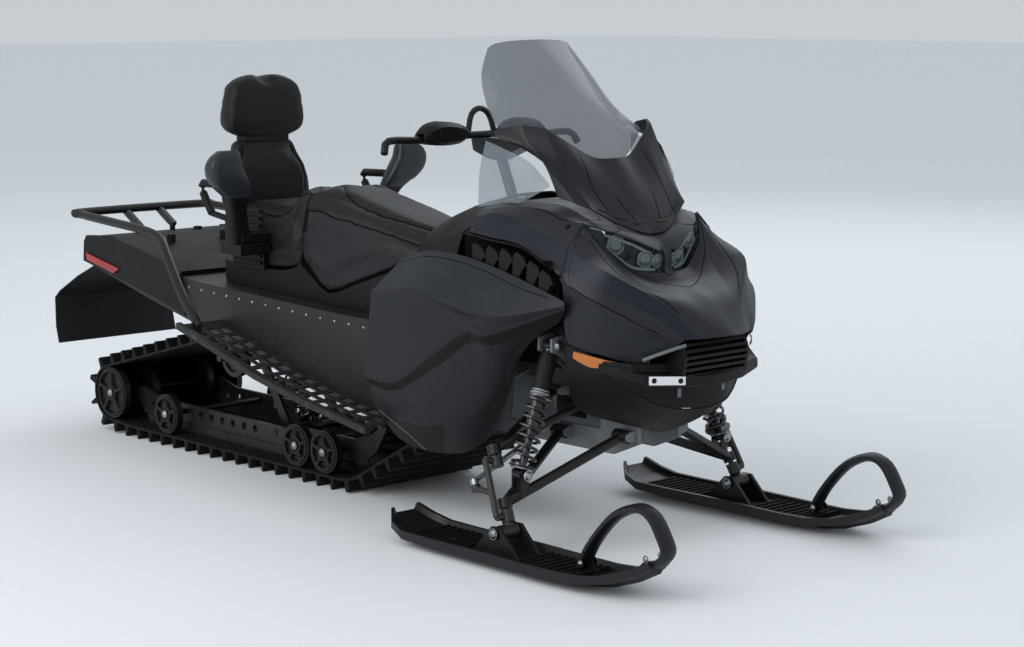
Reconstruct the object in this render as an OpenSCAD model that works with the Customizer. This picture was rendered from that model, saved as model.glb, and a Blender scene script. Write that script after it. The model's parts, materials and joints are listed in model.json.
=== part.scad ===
// Wide-track two-seat utility snowmobile.
// +X is forward, +Y is left, +Z is up. The origin is on the ground, at the middle of
// the overall length and width.

/* [Skis] */
// Distance between the middles of the two skis
ski_stance = 930; // [900:5:1000]
// Width of one ski
ski_w = 186; // [150:2:200]
// Length of the ski from its heel to its tip
ski_len = 1025; // [980:5:1040]
// Where the ski bolt stands along the machine
ski_bolt_x = 1015; // [1005:1:1025]
// Height of the ski bolt over the ground
ski_bolt_z = 88; // [84:1:96]
// Radius of the ski bolt
ski_bolt_r = 6; // [5:0.5:8]
// Height of the loop at the ski's tip
ski_loop_h = 252; // [230:2:266]

/* [Steering] */
// Radius of the studs that the spindle turns on
stud_r = 8; // [7:0.5:9]
// Radius of the ball housings at the ends of the arms
ball_r = 19; // [17:0.5:21]
// Half the distance between the two grips' ends
bar_half = 385; // [360:5:400]
// Radius of the handlebar's tube
bar_r = 11; // [10:0.5:12.5]
// Lean of the steering post back from upright, in degrees
post_lean = 24; // [20:1:28]

/* [Track] */
// Width of the track
track_w = 508; // [480:4:520]
// Thickness of the belt
belt_t = 8; // [6:0.5:10]
// Height of the lugs
lug_h = 34; // [25:1:38]
// Number of lugs round the loop
lug_n = 56; // [48:1:64]
// Radius of the two rear wheels
rear_wheel_r = 90; // [80:1:95]
// Radius of the other wheels
wheel_r = 68; // [60:1:72]
// Radius of the drive sprockets
sprocket_r = 92; // [85:1:96]

/* [Chassis] */
// Clearance between the track and each wall of the tunnel
track_gap = 16; // [14:1:26]
// Thickness of the tunnel's sheet
sheet_t = 4; // [2.5:0.5:5]
// Width of each running board
board_w = 176; // [150:2:180]
// Length of the snow flap
flap_len = 400; // [340:5:420]
// Thickness of the moulded body panels
panel_t = 5; // [4:0.5:6]

// Radius of the tow pin's hole
hitch_r = 8; // [6:0.5:10]
// Radius of the screw holes in the cargo deck's four bosses
deck_hole_r = 4; // [3:0.25:5]
// Distance between those holes along the machine
deck_x = 160; // [140:5:180]
// Distance between those holes across the machine
deck_y = 220; // [180:5:240]

/* [Seats] */
// Width of the rider's seat at its base
seat_w = 380; // [340:5:400]
// Width of the headrest
headrest_w = 310; // [260:5:320]

/* [Screen] */
// Thickness of the windshield
screen_t = 4; // [3:0.5:5]
// Height of the windshield's top edge over the ground
screen_top = 1388; // [1340:4:1400]

/* [Hidden] */

// Gap between pieces that only meet
gap = 0.5;
// Gap round a pin in its bore
fit = 0.06;
// Height of the belt's inner face over the ground
belt_z = belt_t + lug_h;
ski_y = ski_stance / 2;
wall_y = track_w / 2 + track_gap;
wheel_y = track_w / 2 - 18;
side_y = wall_y + sheet_t;

// ---- small tools ----
function mix(a, b, t) = a + (b - a) * t;
function unit(v) = v / norm(v);
// Catmull-Rom curve through the points p, with n steps between neighbours
function cr_point(a, b, c, d, t) = 0.5 * (2 * b + (c - a) * t
    + (2 * a - 5 * b + 4 * c - d) * t * t + (3 * b - a - 3 * c + d) * t * t * t);
function curve(p, n) = let(m = len(p) - 1) concat(
    [for (i = [0 : m - 1], k = [0 : n - 1])
        cr_point(i > 0 ? p[i - 1] : 2 * p[0] - p[1], p[i], p[i + 1],
            i < m - 1 ? p[i + 2] : 2 * p[m] - p[m - 1], k / n)], [p[m]]);
function turned(g) = [for (j = [0 : len(g[0]) - 1]) [for (i = [0 : len(g) - 1]) g[i][j]]];
// A smooth grid from a coarse one: nu steps along the rows' order, nv steps along each row
function smooth(g, nu, nv) = let(a = [for (r = g) curve(r, nv)])
    turned([for (c = turned(a)) curve(c, nu)]);
function flip_y(p) = [p[0], -p[1], p[2]];
function at_edge(i, m) = max(0, min(m, i));
// Outward direction of a grid at one of its points
function grid_normal(g, i, j) = let(m = len(g) - 1, n = len(g[0]) - 1,
    u = g[at_edge(i + 1, m)][j] - g[at_edge(i - 1, m)][j],
    v = g[i][at_edge(j + 1, n)] - g[i][at_edge(j - 1, n)]) unit(cross(u, v));

// A solid through closed rings of equal length, in turn from one end to the other
function ring_mid(r) = [for (k = [0 : 2]) [for (p = r) p[k]] * [for (p = r) 1 / len(r)]];
function ring_area(r, k = 0) = k == len(r) - 1 ? cross(r[k] - r[0], r[0] - r[0])
    : cross(r[k] - r[0], r[k + 1] - r[0]) + ring_area(r, k + 1);
module loft(rings) {
    m = len(rings);
    n = len(rings[0]);
    ahead = ring_area(rings[0]) * (ring_mid(rings[1]) - ring_mid(rings[0])) > 0;
    faces = concat(
        [for (i = [0 : m - 2], j = [0 : n - 1], k = [0, 1]) let(q = (j + 1) % n) k == 0
            ? [i * n + j, (i + 1) * n + j, (i + 1) * n + q]
            : [i * n + j, (i + 1) * n + q, i * n + q]],
        [[for (j = [0 : n - 1]) j]],
        [[for (j = [n - 1 : -1 : 0]) (m - 1) * n + j]]);
    polyhedron([for (r = rings, p = r) p],
        ahead ? faces : [for (f = faces) [for (k = [len(f) - 1 : -1 : 0]) f[k]]]);
}

// A bar of oval section w by h along a path; side is a direction that it is never parallel to
function path_dir(p, i) = unit(p[at_edge(i + 1, len(p) - 1)] - p[at_edge(i - 1, len(p) - 1)]);
module bar(path, w, h, side = [0, 0, 1], n = 8) {
    loft([for (i = [0 : len(path) - 1]) let(d = path_dir(path, i), a = unit(cross(side, d)),
            b = cross(d, a))
        [for (k = [0 : n - 1]) path[i] + a * (w / 2 * cos(-360 * (k + 0.5) / n))
            + b * (h / 2 * sin(-360 * (k + 0.5) / n))]]);
}

// A round rod from a to b
module rod(a, b, r, fn = 24) {
    d = b - a;
    translate(a) rotate([0, acos(d[2] / norm(d)), atan2(d[1], d[0])])
        cylinder(r = r, h = norm(d), $fn = fn);
}

// An outline in X and Z, made thick from y = a to y = b
module plate(outline, a, b) {
    translate([0, b, 0]) rotate([90, 0, 0]) linear_extrude(b - a) polygon(outline);
}
// A seat for a shell: a rod from a point to a ball that stands just off the grid's inner
// face, or off its outer face where t is negative
seat_r = 6;
// More distance where the seat stands under a ridge
ridge_gap = 1.3;
function seat_at(g, i, j, t, more) = g[i][j]
    - (t < 0 ? -seat_r - gap - more : t + seat_r + gap + more) * grid_normal(g, i, j);
module seat_post(from, g, i, j, t, more = 0) {
    q = seat_at(g, i, j, t, more);
    rod(from, q, seat_r - 2, 12);
    translate(q) sphere(r = seat_r, $fn = 24);
}
module both_sides() {
    children();
    mirror([0, 1, 0]) children();
}
// A strip of height t under a line of points
function strip(line, t) = concat(line, [for (i = [len(line) - 1 : -1 : 0]) line[i] - [0, t]]);

// ---- track ----
// Wheels that the belt runs round, in turn: x, z, radius of the belt's inner face
belt_wheels = [
    [-1268, belt_z + rear_wheel_r + 8, rear_wheel_r + gap],
    [-585, 345, wheel_r + gap],
    [395, 330, sprocket_r + gap],
    [20, belt_z + 180, 180],
    [-1150, belt_z + 180, 180]];
// Angle of the tangent point on two wheels, for a belt that runs over them clockwise
function belt_angle(a, b) = atan2(b[1] - a[1], b[0] - a[0]) + 90
    + asin((b[2] - a[2]) / norm([b[0] - a[0], b[1] - a[1]]));
function belt_points(w, off) = [for (i = [0 : len(w) - 1])
    let(p = w[(i + len(w) - 1) % len(w)], q = w[i], s = w[(i + 1) % len(w)],
        a0 = belt_angle(p, q), a1 = belt_angle(q, s),
        span = (a0 - a1 + 720) % 360, steps = max(1, ceil(span / 12)))
    for (k = [0 : steps]) [q[0], q[1]] + (q[2] + off) * [cos(a0 - span * k / steps),
        sin(a0 - span * k / steps)]];
function lengths(p, i = 0, s = 0) = i == len(p) ? [s]
    : concat([s], lengths(p, i + 1, s + norm(p[(i + 1) % len(p)] - p[i])));
// Point at distance s along the closed line p, whose running lengths are l
function along(p, l, s, i = 0) = s <= l[i + 1] || i == len(p) - 1
    ? let(t = (s - l[i]) / (l[i + 1] - l[i])) mix(p[i], p[(i + 1) % len(p)], t)
    : along(p, l, s, i + 1);
belt_in = belt_points(belt_wheels, 0);
belt_out = belt_points(belt_wheels, belt_t);
belt_out_len = lengths(belt_out);
belt_loop = belt_out_len[len(belt_out_len) - 1];

function belt_at(s, up) = let(a = along(belt_out, belt_out_len, (s + belt_loop) % belt_loop),
    b = along(belt_out, belt_out_len, (s + 2 + belt_loop) % belt_loop), d = unit(b - a))
    a + up * [-d[1], d[0]];
lug_pitch = belt_loop / lug_n;
// Outline of the belt with its lugs: places along one pitch and heights over the belt
lug_shape = [[-11, 0], [-5, 1], [5, 1], [11, 0]];
track_outline = [for (i = [0 : lug_n - 1]) each concat(
    [for (p = lug_shape) belt_at((i + 0.5) * lug_pitch + p[0], p[1] * lug_h)],
    [belt_at((i + 1) * lug_pitch, 0)])];

module track() {
    color("#141517") translate([0, track_w / 2, 0]) rotate([90, 0, 0]) linear_extrude(track_w)
        polygon(concat(track_outline, belt_in), [[for (i = [0 : len(track_outline) - 1]) i],
            [for (i = [0 : len(belt_in) - 1]) len(track_outline) + i]]);
}

// ---- skid ----
rail_y = 150;
rail_t = 12;
rear_axle = [belt_wheels[0][0], belt_wheels[0][1]];
carrier_axle = [belt_wheels[1][0], belt_wheels[1][1]];
drive = [belt_wheels[2][0], belt_wheels[2][1]];
axle_r = 9;
arm_shaft_r = 12;
// Lower wheels on each side: x
low_wheels = [-931, -208, -65];
low_axle_z = belt_z + gap + wheel_r;
// Lower shafts of the rear and front arms, and the front arm's upper shaft: x, z
rear_low = [-430, 108];
front_low = [-135, 112];
front_high = [225, 345];
// Outline of a rail: x, z
rail_outline = [[rear_axle[0] - 34, rear_axle[1] - 22], [rear_axle[0] - 34, rear_axle[1] + 22],
    [-1180, 158], [-1080, 134], [-330, 130], [-260, 146], [-20, 146], [70, 176], [128, 214],
    [140, 202], [90, 122], [40, 86], [-30, 71], [-1190, 71], [-1215, 100]];
module rail_hole(p, r, h = rail_t + 2) {
    translate([p[0], rail_y - 1, p[1]]) rotate([-90, 0, 0]) cylinder(r = r, h = h, $fn = 32);
}
module slide_rails() {
    color("#3d3c37") both_sides() {
        difference() {
            plate(rail_outline, rail_y, rail_y + rail_t);
            for (x = [-1130 : 62 : -1010]) rail_hole([x, 104], 11);
            for (x = [-850 : 62 : -490]) rail_hole([x, 104], 13);
            for (x = [-350 : 45 : -300]) rail_hole([x, 106], 12);
            rail_hole(rear_axle, axle_r + fit);
            for (x = low_wheels) rail_hole([x, low_axle_z], axle_r + fit);
            rail_hole(rear_low, arm_shaft_r + fit);
            rail_hole(front_low, arm_shaft_r + fit);
        }
        plate([[-1150, belt_z + gap], [-1165, 70.5], [-40, 70.5], [-10, belt_z + gap]],
            rail_y - 7, rail_y + rail_t + 7);
    }
}

// A wheel with a stepped rim and hub on a solid axle hole, its middle at y
module wheel(r, w, c, y, hub = 26) {
    translate([c[0], y, c[1]]) rotate([-90, 0, 0]) rotate_extrude($fn = 48)
        polygon([[0, -w / 2], [hub, -w / 2], [hub, -w / 5], [r - 15, -w / 5], [r - 15, -w / 2],
            [r, -w / 2], [r, w / 2], [r - 15, w / 2], [r - 15, w / 5], [hub, w / 5],
            [hub, w / 2], [0, w / 2]]);
}
module axle(c, half, r = axle_r) {
    translate([c[0], -half, c[1]]) rotate([-90, 0, 0]) cylinder(r = r, h = 2 * half, $fn = 32);
}
module idler_wheels() {
    color("#16181a") {
        axle(rear_axle, wheel_y + 10);
        for (y = [-wheel_y, -115, 115, wheel_y]) wheel(rear_wheel_r, 24, rear_axle, y);
        for (x = low_wheels) {
            axle([x, low_axle_z], wheel_y + 14);
            for (y = [-wheel_y, wheel_y]) wheel(wheel_r, 24, [x, low_axle_z], y);
        }
    }
}
module drive_axle() {
    color("#2a2b2d") {
        axle(drive, wall_y - gap, 19);
        for (y = [-120, 120]) translate([drive[0], y + 14, drive[1]]) rotate([90, 0, 0])
            linear_extrude(28) polygon([for (k = [0 : 31]) let(r = k % 4 < 2 ? 0 : 14)
                (sprocket_r - 2 - r) * [cos(k * 11.25), sin(k * 11.25)]]);
    }
}
// Swing arm: cross shafts at both ends and two side plates between them
module swing_arm(low, high, y) {
    axle(low, rail_y + rail_t + 3, arm_shaft_r);
    axle(high, wall_y - gap, arm_shaft_r);
    d = unit([high[0] - low[0], high[1] - low[1]]);
    s = [-d[1], d[0]] * 17;
    both_sides() plate([low - s - 14 * d, low + s - 14 * d, high + s + 14 * d, high - s + 14 * d],
        y, y + 12);
}
module skid_arms() {
    color("#17191b") {
        swing_arm(rear_low, carrier_axle, 96);
        for (y = [-200, 200]) wheel(wheel_r, 24, carrier_axle, y);
        swing_arm(front_low, front_high, 70);
    }
}
// Spring round a rod from a to b
module coil(a, b, r, wire, turns, steps = 10) {
    d = unit(b - a);
    u = unit(cross(d, [1, 0, 0]));
    v = cross(d, u);
    bar([for (k = [0 : turns * steps]) let(t = 360 * k / steps)
        a + (b - a) * k / (turns * steps) + r * (u * cos(t) + v * sin(t))], wire, wire, d, 6);
}
// Shock between two cross shafts: x and z of each shaft
module skid_shock(low, high, r) {
    a = [low[0], 0, low[1]];
    b = [high[0], 0, high[1]];
    d = unit(b - a);
    rod(a + 22 * d, b - 22 * d, 13);
    rod(mix(a, b, 0.5), b - 22 * d, 22);
    for (c = [a, b]) difference() {
        rod(c - [0, 16, 0], c + [0, 16, 0], arm_shaft_r + 12);
        rod(c - [0, 17, 0], c + [0, 17, 0], arm_shaft_r + gap);
    }
    for (q = [a + 38 * d, b - 38 * d]) rod(q - 2 * d, q + 2 * d, r + 7);
    coil(a + 43 * d, b - 43 * d, r, 9, 6);
}
module skid_shocks() color("#1d1f21") {
    skid_shock(front_low, front_high, 34);
    skid_shock(rear_low, carrier_axle, 34);
}

// ---- tunnel ----
// Line of the tunnel's top and of its lower edge: x, z
tunnel_end = 556;
tunnel_foot = 235;
tunnel_top = [[-1330, 626], [-650, 586], [0, 560], [tunnel_end, 548]];
tunnel_low = [[-1330, 586], [-948, 497], [-575, 418], [-386, 380], [-124, 318], [219, 263], [430, tunnel_foot],
    [tunnel_end, tunnel_foot]];
function line_z(l, x, i = 0) = x <= l[i + 1][0] || i == len(l) - 2
    ? mix(l[i][1], l[i + 1][1], (x - l[i][0]) / (l[i + 1][0] - l[i][0]))
    : line_z(l, x, i + 1);
hitch_x = -1388;
hitch_z = 614;
hitch_t = 10;
hitch_w = 70;
module tunnel() {
    side = concat(tunnel_low, [for (i = [len(tunnel_top) - 1 : -1 : 0]) tunnel_top[i]]);
    color("#31322f") {
        both_sides() plate(side, wall_y, side_y);
        plate(strip(tunnel_top, sheet_t), -side_y, side_y);
        translate([tunnel_end - sheet_t, -side_y, tunnel_foot])
            cube([sheet_t, 2 * side_y, line_z(tunnel_top, tunnel_end) - tunnel_foot]);
        difference() {
            translate([-1412, -hitch_w / 2, hitch_z]) cube([92, hitch_w, hitch_t]);
            translate([hitch_x, 0, hitch_z - 1]) cylinder(r = hitch_r, h = hitch_t + 2, $fn = 32);
        }
    }
}
// Line of a running board's top: x, z
board_line = [[-560, 476], [-386, 431], [-150, 366], [100, 316], [337, 281], [392, 272]];
module running_boards() {
    color("#3d3c37") both_sides() difference() {
        union() {
            plate(strip(board_line, 5), side_y + gap, side_y + board_w - 16);
            plate(strip([for (p = board_line) p + [0, 7]], 20), side_y + board_w - 20,
                side_y + board_w);
        }
        for (x = [-500 : 62 : 380], y = [side_y + 30 : 42 : side_y + board_w - 50])
            translate([x, y, line_z(board_line, x) - 20]) cube([42, 26, 30]);
    }
}

// ---- tail ----
tail_y = side_y + 14;
module tail_cover() {
    outline = [[-1362, 600], [-1356, 668], [-1340, 690], [-1185, 700], [-854, 640], [-780, 606],
        [-744, 470], [-948, 520]];
    color("#1b1c1e") both_sides() plate(outline, side_y + gap, tail_y);
    color("#131416") difference() {
        union() {
            tail_core();
            for (x = deck_mid + [-deck_x / 2, deck_x / 2], y = [-deck_y / 2, deck_y / 2])
                translate([x, y, 660]) cylinder(r = 15, h = deck_z - 660, $fn = 32);
        }
        for (x = deck_mid + [-deck_x / 2, deck_x / 2], y = [-deck_y / 2, deck_y / 2])
            translate([x, y, deck_z - 30]) cylinder(r = deck_hole_r, h = 31, $fn = 24);
    }
}
// Bosses for cargo gear on the tail's deck: their middle and top
deck_mid = [-1160, -1160];
deck_z = 702;
module tail_core() {
    plate([[-1356, 640], [-1356, 684], [-1180, 694], [-860, 634], [-800, 610],
        [-800, line_z(tunnel_top, -800) + gap], [-1330, line_z(tunnel_top, -1330) + gap]],
        -side_y, side_y);
}
module rear_lamps() {
    color("#a81414") {
        translate([-1356 - gap - 7, -110, 644]) cube([7, 220, 30]);
        both_sides() plate([[-1330, 606], [-1336, 630], [-1130, 592], [-1166, 572]],
            tail_y + gap, tail_y + 6);
    }
}
module snow_flap() {
    line = concat([[tunnel_top[0][0] - gap, tunnel_top[0][1]]],
        [for (p = [[0, -38], [-128, -92], [-250, -156], [-285, -184], [-284, -290], [-268, -348]])
            [tunnel_top[0][0] - gap, tunnel_top[0][1]] + [p[0], p[1] * flap_len / 400]]);
    color("#141517") difference() {
        plate(concat(line, [for (i = [len(line) - 1 : -1 : 0]) line[i] - [7, 0]]), -250, 250);
        // notch for the tow hitch's tongue
        translate([-1360, -hitch_w / 2 - 10, hitch_z - 18]) cube([60, hitch_w + 20, 50]);
    }
}
rack_half = [[-500, 400, line_z(board_line, -500) + 12.5], [-640, 370, 560], [-790, 325, 672], [-865, 300, 716],
    [-960, 292, 735], [-1180, 285, 748], [-1370, 278, 758], [-1425, 235, 762]];
module cargo_rack() {
    half = curve(rack_half, 3);
    color("#141517") {
        bar(concat(half, [for (i = [len(half) - 1 : -1 : 0]) flip_y(half[i])]), 26, 20, [0, 0.2, 1]);
        both_sides() {
            plate([[-1432, 748], [-1406, 760], [-1322, 712], [-1330, 700], [-1352, 702]], 62, 78);
            rod([-1340, 70, 685.9], [-1340, 70, 712], 10);
        }
    }
}

// ---- chassis ----
// Middle of the handlebar, and the steering post from its top down
bar_mid = [402, 0, 1106];
post_top = [480, 0, 1050];
post_dir = [sin(post_lean), 0, -cos(post_lean)];
post_r = 16;
tube_r = 14;
module engine_block() {
    color("#3a3b3c") translate([600, -150, 479 + gap]) cube([330, 300, 130]);
}
shock_top = [986, 275, 571];
shock_low = [997, 400, 232];
upper_pivots = [[1010, 130, 412], [850, 130, 412]];
lower_pivots = [[1095, 108, 312], [850, 108, 292]];
bush_l = 25;
// Ear that holds one end of an arm's bush: the plane x, the bush's y and z, its size
module ear(x, y, z, r) {
    translate([x, 0, 0]) rotate([90, 0, 90]) linear_extrude(6)
        polygon([[86, z - r], [y, z - r], [y + r, z - r / 2], [y + r, z + r / 2], [y, z + r], [86, z + r]]);
}
module bulkhead() {
    color("#6e706e") {
        both_sides() {
            difference() {
                plate([[tunnel_end + gap, 250], [tunnel_end + gap, 470], [1060, 470], [1135, 380], [1135, 290], [1040, 250]],
                    75, 87);
                plate([[620, 290], [620, 430], [770, 430], [770, 290]], 70, 90);
                plate([[800, 314], [800, 392], [990, 392], [990, 314]], 70, 90);
            }
            for (p = upper_pivots, x = [p[0] - 20 - 6 - gap, p[0] + 20 + gap]) ear(x, p[1], p[2], 12);
            for (p = lower_pivots, x = [p[0] - bush_l - 6 - gap, p[0] + bush_l + gap])
                ear(x, p[1], p[2], 15);
            // tower plates on both sides of the shock's eye, with its bolt
            for (x = [shock_top[0] - 28, shock_top[0] + 22]) translate([x, 0, 0]) rotate([90, 0, 90])
                linear_extrude(6) polygon([[80, 440], [80, 479], [250, 600], [300, 592], [300, 556],
                    [270, 545], [140, 452]]);
            rod(shock_top - [29, 0, 0], shock_top + [29, 0, 0], 6);
        }
        translate([tunnel_end + gap, -86, 250]) cube([12, 172, 220]);
        translate([tunnel_end + gap, -86, 470]) cube([500, 172, 9]);
        // arms that carry the bumper, and seats for the belly pan and the side panels
        both_sides() {
            plate([[1100, 385], [1100, 425], [1288.4, 468], [1288.4, 444]], 81, 93);
            seat_post([1100, 84, 370], belly_grid, 2, 13, -1);
            seat_post([1215, 90, 440], belly_grid, 4, 15, -1);
            seat_post([700, 84, 450], side_grid, 4, 4, -1);
        }
    }
}
// Pyramid of tubes over the engine, which carries the steering bearing and the body panels
tower_x = 986;
bearing_drop = 274;
bearing = post_top + bearing_drop * post_dir;
apex = [bearing[0] + 9, 55, bearing[2]];
frame_foot = [380, 200, line_z(tunnel_top, 380) + gap + 5];
frame_front = [tower_x, 240, 618];
function on_front(t) = frame_front + t * (apex - frame_front);
module frame_tubes() color("#1d1f21") {
    both_sides() {
        rod(frame_front, apex, tube_r, 12);
        rod(apex, frame_foot + [0, 0, 8], tube_r, 12);
        rod([apex[0], 20, apex[2]], apex, tube_r - 3, 12);
        translate(apex) cube([50, 44, 46], center = true);
        translate([tower_x - 36, 222, 600 + gap]) cube([72, 36, 22]);
        plate([[350, line_z(tunnel_top, 350) + gap], [410, line_z(tunnel_top, 410) + gap],
            [410, line_z(tunnel_top, 410) + 9], [350, line_z(tunnel_top, 350) + 9]], 180, 230);
        seat_post(on_front(0.5), cowl, cr(1), cc(3), panel_t);
        seat_post(on_front(0.3), cowl, cr(2) + 1, cc(4), panel_t);
        seat_post(on_front(0.2), cowl, cr(4) + 1, cc(2), lens_t);
        seat_post(on_front(0.12), cowl, cr(6), cc(3), panel_t);
        seat_post(on_front(0.25), side_grid, 1, 6, -1, ridge_gap);
        seat_post(on_front(0.75), side_grid, 1, 2, -1, ridge_gap);
        seat_post(apex + [0, 6, 0], console_grid, 4, 6, panel_t);
        rod(on_front(0.4), [830, 281.5, 745], seat_r - 2, 12);
        translate([830, 281.5, 745]) sphere(r = seat_r, $fn = 24);
    }
    difference() {
        rod(bearing - 20 * post_dir, bearing + 20 * post_dir, 28, 32);
        rod(bearing - 21 * post_dir, bearing + 21 * post_dir, post_r + fit, 32);
    }
}
ball_low = [990, 450, 158];
ball_up = [925, 430, 292];
kingpin = unit(ball_up - ball_low);
module ball_housing(c) {
    rod(c - 14 * kingpin, c + 14 * kingpin, ball_r);
    rod(c - 49 * kingpin, c - 10 * kingpin, stud_r);
}
module arm_tube(a, b, r, from) {
    rod(a + from * unit(b - a), b, r);
}
module suspension_arms() {
    color("#1a1b1c") both_sides() {
        ball_housing(ball_low);
        for (p = lower_pivots) {
            arm_tube(ball_low, p, 14, 8);
            rod(p - [bush_l, 0, 0], p + [bush_l, 0, 0], 19);
        }
        ball_housing(ball_up);
        for (p = upper_pivots) {
            arm_tube(ball_up, p, 11, 8);
            rod(p - [20, 0, 0], p + [20, 0, 0], 16);
        }
        // ears for the shock's lower eye
        for (x = [shock_low[0] - 21, shock_low[0] + 15]) plate([[x, 176], [x, 246], [x + 6, 246],
            [x + 6, 176]], shock_low[1] - 13, shock_low[1] + 13);
        rod(shock_low - [24, 0, 0], shock_low + [24, 0, 0], 6);
    }
}
module shock_eye(c, half, r) {
    difference() {
        rod(c - [half, 0, 0], c + [half, 0, 0], r);
        rod(c - [half + 1, 0, 0], c + [half + 1, 0, 0], 6 + fit);
    }
}
module front_shocks() {
    d = unit(shock_top - shock_low);
    color("#8a8c8e") both_sides() {
        rod(shock_low + 13 * d, shock_low + 150 * d, 11);
        rod(shock_low + 130 * d, shock_top - 13 * d, 19);
        shock_eye(shock_top, 20, 16);
        shock_eye(shock_low, 14, 16);
        for (q = [21, 213]) rod(shock_low + q * d, shock_low + (q + 4) * d, 38);
    }
    color("#2a2d30") both_sides()
        coil(shock_low + 29 * d, shock_low + 209 * d, 31, 9, 7);
}

// ---- steered parts ----
ski_bolt = [ski_bolt_x, ski_y, ski_bolt_z];
steer_end = [866, 443, 178];
module spindle_left() {
    side = unit([0, 1, 0] - kingpin * kingpin[1]);
    post_low = ball_low - 38 * kingpin + 38 * side;
    post_up = ball_up - 26 * kingpin + 38 * side;
    color("#3a3935") difference() {
        union() {
            rod(ball_low - 52 * kingpin, ball_low - 19 * kingpin, 18);
            rod(ball_up - 48 * kingpin, ball_up - 19 * kingpin, 18);
            rod(post_low, post_up, 9);
            rod(ball_low - 36 * kingpin, post_low, 10);
            rod(ball_up - 33 * kingpin, post_up, 10);
            rod(ball_low - 51 * kingpin, ski_bolt, 14);
            rod(ski_bolt - [0, 28, 0], ski_bolt + [0, 28, 0], 20);
            rod(mix(post_low, post_up, 0.42), steer_end, 8);
            rod(steer_end - 9 * kingpin, steer_end + 9 * kingpin, 14);
        }
        rod(ball_low - 50 * kingpin, ball_low, stud_r + fit);
        rod(ball_up - 50 * kingpin, ball_up, stud_r + fit);
        rod(ski_bolt - [0, 30, 0], ski_bolt + [0, 30, 0], ski_bolt_r + fit);
        rod(steer_end - 12 * kingpin, steer_end + 12 * kingpin, 5 + fit);
    }
}
module spindle_right() mirror([0, 1, 0]) spindle_left();
// Inner end of a tie rod, where it leaves the bulkhead
tie_in = [880, 60, 378];
module tie_rod_left() {
    color("#9a9c9e") {
        rod(steer_end - 9 * kingpin, steer_end + 12 * kingpin, 5);
        rod(steer_end + 10 * kingpin, steer_end + 26 * kingpin, 13);
        rod(steer_end + 18 * kingpin, tie_in, 8);
    }
}
module tie_rod_right() mirror([0, 1, 0]) tie_rod_left();

// Ski sections: part of the length, half width, height of the underside, wall height
ski_table = [[0, 50, 62, 27], [0.035, 80, 32, 30], [0.09, 93, 14, 33], [0.2, 93, 10, 36],
    [0.44, 93, 10, 38], [0.64, 93, 10, 36], [0.74, 88, 14, 34], [0.82, 76, 28, 30],
    [0.9, 52, 56, 28], [0.96, 36, 88, 27]];
// Middle line of the loop at the tip: part of the length, height as a part of the loop's own
ski_loop = [[0.7, 0.2], [0.735, 0.45], [0.795, 0.73], [0.845, 0.87], [0.9, 0.94],
    [0.945, 0.88], [0.978, 0.7], [0.993, 0.55], [0.965, 0.42], [0.92, 0.36]];
heel = ski_bolt_x - 425;
function ski_x(t) = heel + t * ski_len;
module ski_left() {
    color("#1f2225") {
        // sole, keel and side walls
        for (part = [0 : 3]) loft([for (s = ski_table) let(x = ski_x(s[0]),
                w = s[1] * ski_w / 186, z = s[2], top = s[2] + s[3], side = 2 * part - 5)
            part == 0 ? [[x, ski_y - w, z + 8], [x, ski_y - 24, z], [x, ski_y + 24, z],
                [x, ski_y + w, z + 8], [x, ski_y + w, top - 16], [x, ski_y - w, top - 16]]
            : part == 1 ? [[x, ski_y - 22, z + 4], [x, ski_y - 10, max(0, z - 10)],
                [x, ski_y + 10, max(0, z - 10)], [x, ski_y + 22, z + 4]]
            : [[x, ski_y + side * (w - 20), top - 20], [x, ski_y + side * (w + 2), top - 20],
                [x, ski_y + side * (w + 2), top], [x, ski_y + side * (w - 10), top]]]);
        // saddle walls for the bolt
        for (y = [ski_y - 34 - 10, ski_y + 34]) plate([[ski_bolt_x - 90, 30],
            [ski_bolt_x - 16, ski_bolt_z + 18], [ski_bolt_x + 16, ski_bolt_z + 18],
            [ski_bolt_x + 90, 30]], y, y + 10);
        rod(ski_bolt - [0, 50, 0], ski_bolt + [0, 50, 0], ski_bolt_r);
        bar(curve([for (p = ski_loop) [ski_x(p[0]), ski_y, p[1] * ski_loop_h]], 3), 26, 54, [0, 1, 0]);
    }
}
module ski_right() mirror([0, 1, 0]) ski_left();

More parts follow.
